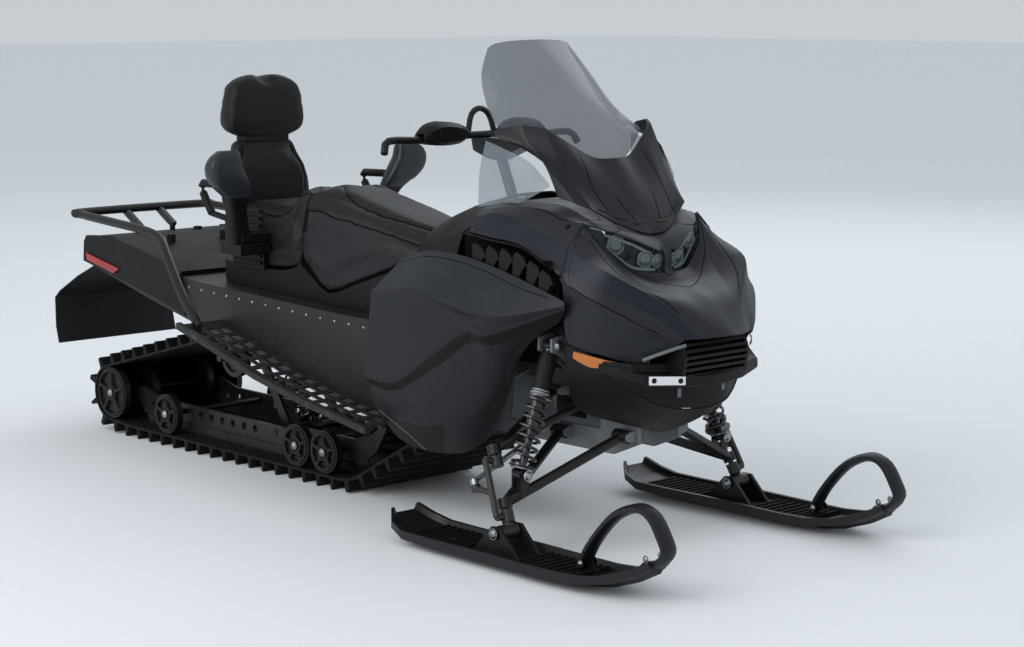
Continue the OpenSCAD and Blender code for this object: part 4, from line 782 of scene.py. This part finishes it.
class SNOWMOBILE_OT_side_panels(bpy.types.Operator):
    """Makes both side panels with their ridge, scoop, recess and lines"""
    bl_idname = "snowmobile.side_panels"
    bl_label = "Side panels"

    def execute(self, context):
        n = SIDE_N
        r, c = side.shape[:2]
        u = np.arange(r)[:, None] / (2 * FINE)
        v = np.arange(c)[None, :] / (2 * FINE)
        # the scoop: a valley under the ridge, deepest where its row and column offsets are nil
        valley = 16 * np.exp(-((u - 1.28 - 0.12 * (v - 2)) / 0.22) ** 2 - ((v - 2.3) / 1.35) ** 2)
        valley = np.where(u <= 1.0, 0, valley)
        shaped = side - valley[:, :, None] * n
        g = part(shaped, 0, r - 1, 0, c - 1, 0.8)
        v4, f4 = shell(g, PANEL_T, SIDE_MID, lift=PANEL_T)
        uf = (np.arange(r - 1) + 0.5)[:, None] / (2 * FINE) + np.zeros((1, c - 1))
        vf = (np.arange(c - 1) + 0.5)[None, :] / (2 * FINE) + np.zeros((r - 1, 1))
        face = np.zeros_like(uf, dtype=int)
        face[uf < 1] = 1
        face[(uf > 2) & (uf < 3)] = 2
        face[(uf > 4.15) & (vf < 2.2)] = 2
        kinds = np.concatenate([face.ravel(), face.ravel(), np.zeros(2 * (r + c - 2), int)])
        m = out_normals(shaped, SIDE_MID)
        for name, flip in (("left", 1), ("right", -1)):
            node = "side_panel_" + name
            pts = v4 * [1, flip, 1]
            obj = place(node + "_shell", pts, f4, node, ("side_abs", "side_top", "black_pp"), kinds,
                        angle=28, replaces=(node,))
            bevel(obj, 1.2, angle=60)
            # painted shade along the seam at the top, and a silver line along the lower edge
            for end, us, vs, width, high, finish in (
                    ("_seam_shade", (0.22, 0.2, 0.2, 0.3), (0.3, 1.5, 3.0, 4.6), 2.6, 1.0, "seam"),
                    ("_line", (4.1, 4.5, 4.95), (0.15, 0.9, 1.4), 2.4, 1.2, "silver")):
                p, q = line_on(shaped, m, np.array(us) * 2 * FINE, np.array(vs) * 2 * FINE, 14, lift=PANEL_T)
                v5, f5 = ribbon(p, q, width, high)
                place(node + end, v5 * [1, flip, 1], f5, node, (finish,))
        return {"FINISHED"}


class SNOWMOBILE_OT_screens(bpy.types.Operator):
    """Makes the fairing with its slots and the painted shade in its seams, the smoked windshield, the clear wings
    and the belly pan
    """
    bl_idname = "snowmobile.screens"
    bl_label = "Fairing, screens and belly pan"

    def execute(self, context):
        r, c = fairing.shape[:2]
        g = part(fairing, 0, r - 1, 0, c - 1, 0.6)
        v, f = shell(g, PANEL_T, FAIRING_MID)
        obj = place("fairing_shell", v, f, "fairing", ("dark_abs",), replaces=("fairing",))
        bevel(obj, 1.5, angle=60)
        # painted shade as near-black ribbons in the fairing's seams
        lines = []
        for us, vs in (((0.4, 1.2, 2.2, 2.85), (1.6, 1.7, 1.9, 2.2)), ((1.9, 2.3, 2.6), (1.0, 0.9, 0.8))):
            p, n = line_on(fairing, FAIR_N, np.array(us) * FINE, (np.array(vs) + 5) * FINE, 12)
            lines.append(ribbon(p, n, 3.4, 1.0))
        place("fairing_seam_shade", *both_sides(joined(lines)), "fairing", ("seam",))
        # three slots on each side of the fairing's foot, as dark raised lips
        slots = []
        for k in range(3):
            p, n = line_on(fairing, FAIR_N, np.array([2.62 + 0.02 * k, 2.7 + 0.02 * k]) * FINE,
                           (np.array([0.5, 1.1]) + 0.75 * k + 5) * FINE, 8, lift=0.4)
            slots.append(ribbon(p, n, 7.0, 2.4))
        place("fairing_slots", *both_sides(joined(slots)), "fairing", ("black_pp",))
        r, c = screen.shape[:2]
        g = part(screen, 0, r - 1, 0, c - 1, 0.6)
        obj = place("windshield_sheet", *shell(g, 4.0, np.array([500, 0, 1100])), "windshield", ("screen",),
                    replaces=("windshield",))
        bevel(obj, 1.2, angle=60)
        wing = net(WING, FINE, FINE)
        r, c = wing.shape[:2]
        obj = place("wing_sheets", *both_sides(shell(part(wing, 0, r - 1, 0, c - 1, 0.6), 4.0, FAIRING_MID)),
                    "wind_wings", ("clear",), replaces=("wind_wings",))
        bevel(obj, 1.2, angle=60)
        r, c = belly.shape[:2]
        obj = place("belly_shell", *shell(part(belly, 0, r - 1, 0, c - 1, 0.6), PANEL_T,
                    np.array([1100, 0, 600]), lift=PANEL_T), "belly_pan", ("black_pp",),
                    replaces=("belly_pan",))
        bevel(obj, 1.5, angle=60)
        edge = belly[-1][3:-3]
        chin = np.stack([edge, edge * [1, 1, 0] + [0, 0, 1] * np.maximum(edge[:, 2:], 512)])
        chin = net(chin, 4, 1)
        place("belly_chin", *shell(chin, 4.0, np.array([1100, 0, 460])), "belly_pan", ("black_pp",))
        return {"FINISHED"}


# ---------------------------------------------------------------- operators: soft goods
def settle(obj):
    """Turns an object's live modifiers into its mesh."""
    dg = bpy.context.evaluated_depsgraph_get()
    mesh = bpy.data.meshes.new_from_object(obj.evaluated_get(dg))
    obj.modifiers.clear()
    obj.data = mesh


def get_points(mesh, kind="co"):
    q = np.empty(len(mesh.vertices) * 3)
    if kind == "co":
        mesh.vertices.foreach_get("co", q)
    else:
        mesh.vertex_normals.foreach_get("vector", q)
    return q.reshape(-1, 3)


def soften(mesh, times, share=0.5):
    """Each point moves the given share of the way to the mean of its neighbours, several times."""
    e = np.empty(len(mesh.edges) * 2, np.int32)
    mesh.edges.foreach_get("vertices", e)
    a, b = e.reshape(-1, 2).T
    co = get_points(mesh)
    count = np.bincount(np.concatenate([a, b]), minlength=len(co))[:, None]
    for _ in range(times):
        total = np.stack([np.bincount(np.concatenate([a, b]), np.concatenate([co[b, k], co[a, k]]),
                                      minlength=len(co)) for k in range(3)], axis=1)
        co += share * (total / np.maximum(count, 1) - co)
    mesh.vertices.foreach_set("co", co.ravel())
    mesh.update()


def inflate(obj, puff, held):
    """Cloth under air pressure for 20 frames gives the uneven surface, and an even swell gives the
    volume. No point moves further than puff, and the points that are held, where the pad rests on
    something, move least."""
    co = get_points(obj.data)
    mod = obj.modifiers.new("air", "CLOTH")
    s = mod.settings
    s.quality = 4
    s.use_pressure = True
    s.uniform_pressure_force = 4.0
    s.effector_weights.gravity = 0.0
    mod.point_cache.frame_start, mod.point_cache.frame_end = 1, 20
    for f in range(1, 21):
        bpy.context.scene.frame_set(f)
    dg = bpy.context.evaluated_depsgraph_get()
    after = get_points(obj.evaluated_get(dg).data)
    obj.modifiers.remove(mod)
    d = after - co
    # this run draws the whole cushion in, so the mean move along the normals is taken out and
    # a swell of half of puff is put in its place
    no = get_points(obj.data, "normal")
    d += no * (0.5 * puff - (d * no).sum(axis=1).mean())
    length = np.linalg.norm(d, axis=1, keepdims=True)
    d *= np.minimum(1.0, puff / np.maximum(length, 1e-9))
    obj.data.vertices.foreach_set("co", (co + d * (1 - held(co / MM))[:, None]).ravel())
    obj.data.update()


def snapped(mesh, corners, steps=24):
    """A smooth line through the corners, in mm, moved to the nearest points of the mesh, with the
    normals there, and then evened out by a running mean."""
    co, no = get_points(mesh) / MM, get_points(mesh, "normal")
    path = spline(np.asarray(corners, float), steps)
    near = np.array([np.argmin(((co - p) ** 2).sum(axis=1)) for p in path])
    p, n = co[near], no[near]
    for _ in range(3):
        p[1:-1] = (p[:-2] + p[1:-1] + p[2:]) / 3
        n[1:-1] = (n[:-2] + n[1:-1] + n[2:]) / 3
    far = np.concatenate([[0], np.cumsum(np.linalg.norm(np.diff(p, axis=0), axis=1) + 1e-6)])
    at = np.linspace(0, far[-1], max(6, int(far[-1] / 5)))
    p, n = (np.stack([np.interp(at, far, q[:, k]) for k in range(3)], axis=1) for q in (p, n))
    return p, n / np.linalg.norm(n, axis=1, keepdims=True)


def press_seam(mesh, path, width, depth):
    """Sews a line in: points sink along their normals by depth times the bell curve of their
    distance from the line, with the given width."""
    co, no = get_points(mesh), get_points(mesh, "normal")
    d2 = np.full(len(co), 1e9)
    for p in path * MM:
        d2 = np.minimum(d2, ((co - p) ** 2).sum(axis=1))
    co -= no * (depth * MM * np.exp(-d2 / (width * MM) ** 2))[:, None]
    mesh.vertices.foreach_set("co", co.ravel())
    mesh.update()


def pad(node, finish, seams, held, other=None, test=None, rounds=14, shrink=0.5):
    """A cushion: the node's form as an even net of small faces, rounded, drawn in, run as cloth
    and swelled, and then sewn along its seams, if it has any."""
    s = bpy.context.scene.snowmobile
    obj = merged_copy(node, node + "_pad")
    voxels = obj.modifiers.new("voxels", "REMESH")
    voxels.mode = "VOXEL"
    voxels.voxel_size = s.pad_voxel
    settle(obj)
    soften(obj.data, rounds)
    co, no = get_points(obj.data), get_points(obj.data, "normal")
    obj.data.vertices.foreach_set("co", (co - no * shrink * s.pad_puff).ravel())
    obj.data.update()
    inflate(obj, s.pad_puff, held)
    soften(obj.data, 2)
    obj.data.materials.clear()
    obj.data.materials.append(MATERIALS[finish])
    lines = [snapped(obj.data, c) for c in seams]
    for p, n in lines:
        press_seam(obj.data, p, 9.0, 5.0)
    if other:
        repaint(obj, other, test)
    obj.data.shade_smooth()
    sub = obj.modifiers.new("fine", "SUBSURF")
    sub.levels = sub.render_levels = 1
    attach(obj, body_of_node(node))
    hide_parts(node)
    if lines:
        threads, groove_shades = [], []
        for p, n in lines:
            # a near-black cord in each sewn groove: painted shade in the seam
            groove_shades.append(ribbon(p - 3.4 * n, n, 3.4, 3.0))
            across = np.cross(np.gradient(p, axis=0), n)
            across /= np.linalg.norm(across, axis=1, keepdims=True)
            threads.append(stitches(p + 7 * across - 2.2 * n, n, s.stitch_pitch, s.stitch_pitch * 0.6, 1.4))
        place(node + "_seam_shade", *joined(groove_shades), node, ("seam",))
        place(node + "_stitches", *joined(threads), node, ("thread",))
    return obj


def mirrored(lines):
    return [[(x, sy * y, z) for x, y, z in line] for line in lines for sy in (1, -1)]


class SNOWMOBILE_OT_seats(bpy.types.Operator):
    """Makes the rider's and passenger's seats, the backrest and the headrest as padded vinyl"""
    bl_idname = "snowmobile.seats"
    bl_label = "Seats"

    def execute(self, context):
        edge = [(-252, 150, 842), (-150, 168, 846), (-20, 170, 838), (110, 160, 812), (220, 142, 786),
                (276, 128, 774)]
        top = [(-244, 0, 914), (-180, 60, 912), (-95, 108, 896), (40, 118, 866), (160, 100, 840),
               (262, 70, 815)]

        def graphite(c):
            z = np.interp(c[:, 0], [p[0] for p in edge], [p[2] for p in edge])
            return (c[:, 2] < z) & (np.abs(c[:, 1]) > 90)
        pad("rider_seat", "vinyl", mirrored([edge, top[1:]]), lambda c: np.clip((700 - c[:, 2]) / 60, 0, 0.9),
            "vinyl_side", graphite)
        pad("passenger_seat", "vinyl", mirrored([[(-636, 132, 826), (-540, 152, 838), (-430, 152, 835),
            (-350, 146, 868), (-290, 138, 908)], [(-330, 0, 898), (-334, 70, 894), (-340, 138, 874)]]),
            lambda c: np.clip((700 - c[:, 2]) / 40, 0, 0.9))
        # the backrest is held at its foot and where the headrest's neck enters it
        pad("backrest", "vinyl", mirrored([[(-640, 128, 720), (-628, 160, 800), (-622, 162, 880),
            (-618, 140, 970), (-632, 100, 1030)]]),
            lambda c: np.clip((720 - c[:, 2]) / 30, 0, 0.9) + np.clip((c[:, 2] - 1000) / 30, 0, 0.95),
            rounds=10, shrink=0.1)
        pad("headrest", "vinyl", [], lambda c: 0.35 + np.clip((1100 - c[:, 2]) / 40, 0, 0.6), rounds=7,
            shrink=0.1)
        neck = place("headrest_neck", *block((-716, -92, 1032), (-668, 92, 1096)), "headrest", ("black_pp",))
        bevel(neck, 6.0)
        return {"FINISHED"}


# ---------------------------------------------------------------- operators: trim
def bolt(centre, axis, radius):
    """A button head: a low dome on a thin washer ring."""
    c = np.asarray(centre, float)
    return [dome(c, axis, radius, radius * 0.55, 5, 16), ring(c, axis, radius * 1.1, radius * 0.14, 18, 6)]


class SNOWMOBILE_OT_ski_trim(bpy.types.Operator):
    """Makes each ski's tread pads, its pivot bolt's heads and the bolts of its tip loop"""
    bl_idname = "snowmobile.ski_trim"
    bl_label = "Ski trim"

    def execute(self, context):
        s = context.scene.snowmobile
        y0 = SKI_Y
        for name, sign in (("left", 1), ("right", -1)):
            node = "ski_" + name
            bars = []
            for x0, x1 in ((700, 905), (1120, 1330)):
                for x in np.linspace(x0, x1, s.tread_bars):
                    z = 29 + max(0.0, x - 1290) * 0.06
                    b = block((x, y0 - 66, z), (x + 12, y0 + 66, z + 13))
                    bars.append(b)
                bars.append(block((x0 - 8, y0 - 70, 27.5), (x1 + 20, y0 + 70, 33)))
            v, f = joined(bars)
            obj = place(node + "_tread_pads", v * [1, sign, 1], f, node, ("tread",))
            bevel(obj, 2.5)
            heads = bolt((1015, y0 + 51, 88), (0, 1, 0), 13) + bolt((1015, y0 - 51, 88), (0, -1, 0), 13)
            for x, z in ((1322, 62), (1556, 118)):
                heads += bolt((x, y0 + 27, z), (0, 1, 0), 8) + bolt((x, y0 - 27, z), (0, -1, 0), 8)
            v, f = joined(heads)
            place(node + "_bolts", v * [1, sign, 1], f, node, ("steel",))
        return {"FINISHED"}


class SNOWMOBILE_OT_front_trim(bpy.types.Operator):
    """Makes the bumper's lip, the amber reflectors, and the blank plate with its bolts"""
    bl_idname = "snowmobile.front_trim"
    bl_label = "Front trim"

    def execute(self, context):
        # bumper: half its outline from the middle out, as y, x, low edge, front top edge, back top edge
        half = np.array([[0, 1347, 474, 508, 532], [120, 1334, 479, 513, 538], [225, 1292, 488, 520, 544],
                         [262, 1234, 504, 536, 548], [270, 1200, 514, 538, 546]], float)
        t = np.concatenate([half[:0:-1] * [-1, 1, 1, 1, 1], half])
        t = spline(t, 4, (1, 2, 3, 5, 6, 7))
        y, x, low, front, back = t.T
        cols = [(x - 20, low), (x - 6, low), (x, low + 6), (x - 1, front - 5), (x - 7, front), (x - 44, front + 3),
                (x - 50, back), (x - 62, back), (x - 66, low + 4), (x - 46, low)]
        g = np.stack([np.stack([px, y, pz], axis=1) for px, pz in cols], axis=1)
        obj = place("bumper_lip", *lofted(g), "front_bumper", ("black_pp",), replaces=("front_bumper",),
                    angle=25)
        bevel(obj, 2.0, angle=50)
        # amber reflectors on the cheek's lower edge
        m = net([[[1086, 0, 566], [1118, 0, 562], [1202, 0, 545]],
                 [[1084, 0, 549], [1140, 0, 528], [1186, 0, 535]]], 4, 6)
        # the reflector lies on the quadratic in x and z that fits the belly pan there best
        near = belly.reshape(-1, 3)
        near = near[(near[:, 1] > 200) & (near[:, 0] > 1060) & (near[:, 0] < 1230)
                    & (near[:, 2] > 505) & (near[:, 2] < 590)]

        def terms(p):
            x, z = (p[:, 0] - 1140) / 100, (p[:, 2] - 545) / 100
            return np.stack([x ** 0, x, z, x * x, x * z, z * z], axis=1)
        fit = np.linalg.lstsq(terms(near), near[:, 1], rcond=None)[0]
        flat = m.reshape(-1, 3)
        m = np.c_[flat[:, 0], terms(flat) @ fit, flat[:, 2]].reshape(m.shape)
        v, f = both_sides(shell(m, 5.0, np.array([1100, 0, 540]), lift=PANEL_T + 4.0))
        place("amber_reflectors", v, f, "front_markers", ("amber",), replaces=("front_markers",))
        # blank plate with two bolts on the bumper's right face
        a, b = np.array([1337.0, -118, 0.0]), np.array([1298.0, -216, 0.0])
        ahead = (b - a) / np.linalg.norm(b - a)
        out = np.array([ahead[1], -ahead[0], 0]) * -1
        out = out if out[0] > 0 else -out
        g = np.array([[a + [0, 0, 487], b + [0, 0, 493]], [a + [0, 0, 510], b + [0, 0, 516]]])
        g = net(g, 2, 8)
        v, f = shell(g, 3.0, g.mean(axis=(0, 1)) - 100 * out, lift=2.0)
        place("blank_plate", v, f, "front_markers", ("white",))
        heads = bolt(a + 14 * ahead + [0, 0, 499] + 2 * out, out, 6.0)
        heads += bolt(b - 14 * ahead + [0, 0, 504] + 2 * out, out, 6.0)
        place("plate_bolts", *joined(heads), "front_markers", ("black_pp",))
        return {"FINISHED"}


class SNOWMOBILE_OT_chassis_trim(bpy.types.Operator):
    """Makes the wheels' ribs and bolts, the rack's rail and marks, the shocks' collars, rivets, storage
    slats, the console's side skirts, and the hand holds with their shields"""
    bl_idname = "snowmobile.chassis_trim"
    bl_label = "Chassis trim"

    def execute(self, context):
        # wheels: five ribs, a rim bead and a hub bolt on each outer face
        ribs, hubs = [], []
        for x, z, r in WHEELS:
            for k in range(5):
                a = 2 * np.pi * (k + 0.25) / 5
                out = np.array([np.cos(a), 0, np.sin(a)])
                mid = np.array([x, WHEEL_FACE, z])
                ribs.append(tube(np.linspace(mid + 24 * out, mid + (r - 16) * out, 5), [7, 6.5, 6, 6.5, 8], 8,
                                 side=(0, 1, 0), flat=0.8))
            ribs.append(ring((x, WHEEL_FACE, z), (0, 1, 0), r - 12, 5.0))
            ribs.append(ring((x, WHEEL_FACE, z), (0, 1, 0), 24, 5.0))
            hubs += bolt((x, WHEEL_FACE + 6, z), (0, 1, 0), 11)
        place("wheel_ribs", *both_sides(joined(ribs)), "idler_wheels", ("wheel",))
        place("wheel_bolts", *both_sides(joined(hubs)), "idler_wheels", ("steel",))
        # rack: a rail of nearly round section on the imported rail's own line
        half = np.array([[-520, 396, 480], [-640, 370, 560], [-790, 325, 672], [-865, 300, 716],
                         [-960, 292, 735], [-1180, 285, 748], [-1370, 278, 758], [-1420, 240, 762]], float)
        path = spline(np.concatenate([half, half[::-1] * [1, -1, 1]]), 6)
        place("rack_rail", *tube(path, 15.5, 12, side=(0, 0.2, 1), flat=0.95), "cargo_rack", ("powder",))
        marks = both_sides(tube(np.array([[-1426, 150, 764], [-1428, 185, 763], [-1426, 215, 762]]), 9, 8,
                                side=(-1, 0, 0), flat=0.5))
        # shocks: silver collars at the spring's two ends, body cap, and eyes
        top, low = SHOCK_TOP, SHOCK_LOW
        d = (top - low) / np.linalg.norm(top - low)
        steel, black = [], []
        for q, r, w in ((218, 33, 4), (226, 30, 4), (234, 26, 3), (17, 33, 4)):
            steel.append(ring(low + q * d, d, r - w, w))
        black.append(tube(np.linspace(low + 236 * d, top - 20 * d, 8), [24, 26, 26, 24, 26, 26, 24, 20], 20,
                          side=(1, 0, 0)))
        for p in (top, low):
            steel += bolt(p + [31, 0, 0], (1, 0, 0), 13)
        place("shock_collars", *both_sides(joined(steel)), "front_shocks", ("steel",))
        place("shock_bodies", *both_sides(joined(black)), "front_shocks", ("black_pp",))
        # rivets along the tunnel's sides, 70 mm apart
        rivets = []
        for x in np.arange(-880, 330, 70.0):
            z = np.interp(x, [-1330, -650, 0, 430], [626, 586, 560, 548]) - 26
            rivets.append(dome((x, 273.6, z), (0, 1, 0), 5, 2.2, 4, 10))
        place("tunnel_rivets", *both_sides(joined(rivets)), "tunnel", ("steel",))
        # storage box slats beside the passenger's seat
        slats = [block((-600, 190, 640), (-430, 196, 838))]
        slats += [block((-590, 195, z), (-440, 204, z + 12)) for z in range(656, 830, 24)]
        obj = place("storage_slats", *both_sides(joined(slats)), "seat_base", ("black_pp",))
        bevel(obj, 3.0)
        # console skirts: from the console's side edge down to the tunnel
        g = net(np.array([[[302, 160, 786], [370, 176, 797], [440, 190, 806], [540, 197, 842]],
                          [[302, 190, 700], [370, 205, 720], [440, 215, 740], [540, 225, 770]],
                          [[302, 196, 566], [370, 220, 562], [440, 235, 560], [540, 245, 580]]], float), 4, 4)
        place("console_skirts", *both_sides(shell(g, 4.0, np.array([400, 0, 700]))), "console", ("black_pp",))
        # hand holds: rounded sections up the post, as z, x, y, half width and half depth
        rows = np.array([[716, -452, 272, 42, 34], [790, -440, 292, 34, 28], [848, -422, 306, 32, 24],
                         [884, -406, 316, 42, 25], [918, -393, 343, 61, 29], [950, -388, 364, 67, 31],
                         [985, -386, 377, 60, 30], [1014, -385, 372, 50, 26], [1034, -384, 362, 34, 16]], float)
        rows = spline(rows, 3)
        z, x, y, wide, deep = rows.T[:, :, None]
        a = np.arange(28) * 2 * np.pi / 28
        # superellipse of power 4: x = cos a and y = sin a, each taken to the power 1/2
        ca, sa = np.sign(np.cos(a)) * np.abs(np.cos(a)) ** 0.5, np.sign(np.sin(a)) * np.abs(np.sin(a)) ** 0.5
        g = np.stack([x + deep * ca, y + wide * sa, z + 0 * ca], axis=2)
        post = lofted(g, flip=True)
        grips = [tube(np.array([[-400, 330, 925], [-482, 330, 923], [-564, 330, 921], [-572, 330, 912],
                                [-566, 330, 890], [-545, 330, 860], [-520, 330, 828]]), 13, 14),
                 tube(np.array([[-520, 330, 828], [-475, 325, 820], [-430, 320, 812]]), 10, 12),
                 block((-500, 196, 700), (-390, 314, 734)), block((-470, 184.2, 737), (-404, 294, 765))]
        v, f = both_sides(joined([post] + grips))
        mid = v[f].mean(axis=1)
        upper = (mid[:, 2] > 886) & (mid[:, 0] > -422)
        obj = place("hand_posts", v, f, "hand_holds", ("black_pp", "deflector"), upper.astype(int),
                    replaces=("hand_holds",))
        bevel(obj, 3.0, angle=50)
        # glossy shields: the nine columns round the post's foremost line, moved 3 mm forward
        front = [(q - 4) % 28 for q in range(9)]
        top = [q for q in range(len(z)) if 900 < z[q, 0] < 1018]
        shield = shell(g[np.ix_(top, front)] + [3.0, 0, 0], 4.0, np.array([-470, 376, 950]))
        place("hand_shields", *both_sides(shield), "hand_holds", ("deflector",))
        # amber clearance marks on the rack's rear corners
        place("rack_marks", *marks, "cargo_rack", ("amber",))
        return {"FINISHED"}


# ---------------------------------------------------------------- stage
def area_light(name, spot, target, size, power, color=(1, 1, 1)):
    lamp = bpy.data.lights.new(name, "AREA")
    lamp.shape = "RECTANGLE"
    lamp.size, lamp.size_y = size
    lamp.energy = power
    lamp.color = color
    obj = bpy.data.objects.new(name, lamp)
    obj.location = spot
    obj.rotation_mode = "QUATERNION"
    obj.rotation_quaternion = (Vector(target) - Vector(spot)).to_track_quat("-Z", "Y")
    bpy.context.scene.collection.objects.link(obj)


class SNOWMOBILE_OT_stage(bpy.types.Operator):
    """Makes the pale floor, the soft lights and the camera"""
    bl_idname = "snowmobile.stage"
    bl_label = "Stage"

    def execute(self, context):
        s = context.scene.snowmobile
        mesh = bpy.data.meshes.new("floor")
        mesh.from_pydata([(-60, -60, 0), (60, -60, 0), (60, 60, 0), (-60, 60, 0)], [], [(0, 1, 2, 3)])
        floor = bpy.data.objects.new("floor", mesh)
        context.scene.collection.objects.link(floor)
        mat, _ = new_material("matte_studio_floor", Base_Color=(*s.floor_color, 1), Roughness=0.9,
                              Specular_IOR_Level=0.1)
        mesh.materials.append(mat)
        world = bpy.data.worlds.new("soft_sky")
        context.scene.world = world
        world.use_nodes = True
        world.node_tree.nodes["Background"].inputs["Color"].default_value = (*s.sky_color, 1)
        world.node_tree.nodes["Background"].inputs["Strength"].default_value = s.sky_power
        area_light("key", (0.5, -7.5, 5.0), (0, 0, 0.5), (6, 6), s.key_power)
        area_light("back", (-3.0, 7.0, 6.0), (0.2, 0, 0.6), (6, 4), s.key_power * 0.4, (0.9, 0.95, 1.0))
        cam = bpy.data.cameras.new("camera")
        cam.sensor_width, cam.lens = 36.0, 77.77
        cam.clip_start, cam.clip_end = 0.1, 300
        obj = bpy.data.objects.new("camera", cam)
        yaw, pitch = math.radians(137.3217), math.radians(-8.3611)
        ahead = Vector((math.cos(yaw) * math.cos(pitch), math.sin(yaw) * math.cos(pitch), math.sin(pitch)))
        obj.rotation_mode = "QUATERNION"
        obj.rotation_quaternion = ahead.to_track_quat("-Z", "Y")
        obj.location = (5.28368, -4.38333, 1.50376)
        context.scene.collection.objects.link(obj)
        context.scene.camera = obj
        context.scene.view_settings.view_transform = "Standard"
        return {"FINISHED"}


class SNOWMOBILE_PT_panel(bpy.types.Panel):
    bl_label = "Snowmobile"
    bl_idname = "SNOWMOBILE_PT_panel"
    bl_space_type = "VIEW_3D"
    bl_region_type = "UI"
    bl_category = "Snowmobile"

    def draw(self, context):
        s = context.scene.snowmobile
        for name in s.bl_rna.properties.keys():
            if name not in {"rna_type", "name"}:
                self.layout.prop(s, name)
        for op in OPERATORS:
            self.layout.operator(op.bl_idname)


OPERATORS = (SNOWMOBILE_OT_finishes, SNOWMOBILE_OT_cowl, SNOWMOBILE_OT_lamps, SNOWMOBILE_OT_side_panels,
             SNOWMOBILE_OT_screens, SNOWMOBILE_OT_seats, SNOWMOBILE_OT_ski_trim, SNOWMOBILE_OT_front_trim,
             SNOWMOBILE_OT_chassis_trim, SNOWMOBILE_OT_stage)
CLASSES = (SnowmobileSettings, *OPERATORS, SNOWMOBILE_PT_panel)


def register():
    for c in CLASSES:
        bpy.utils.register_class(c)
    bpy.types.Scene.snowmobile = PointerProperty(type=SnowmobileSettings)


def unregister():
    del bpy.types.Scene.snowmobile
    for c in reversed(CLASSES):
        bpy.utils.unregister_class(c)


def main():
    register()
    for op in OPERATORS:
        group, name = op.bl_idname.split(".")
        getattr(getattr(bpy.ops, group), name)()


if __name__ == "__main__":
    main()
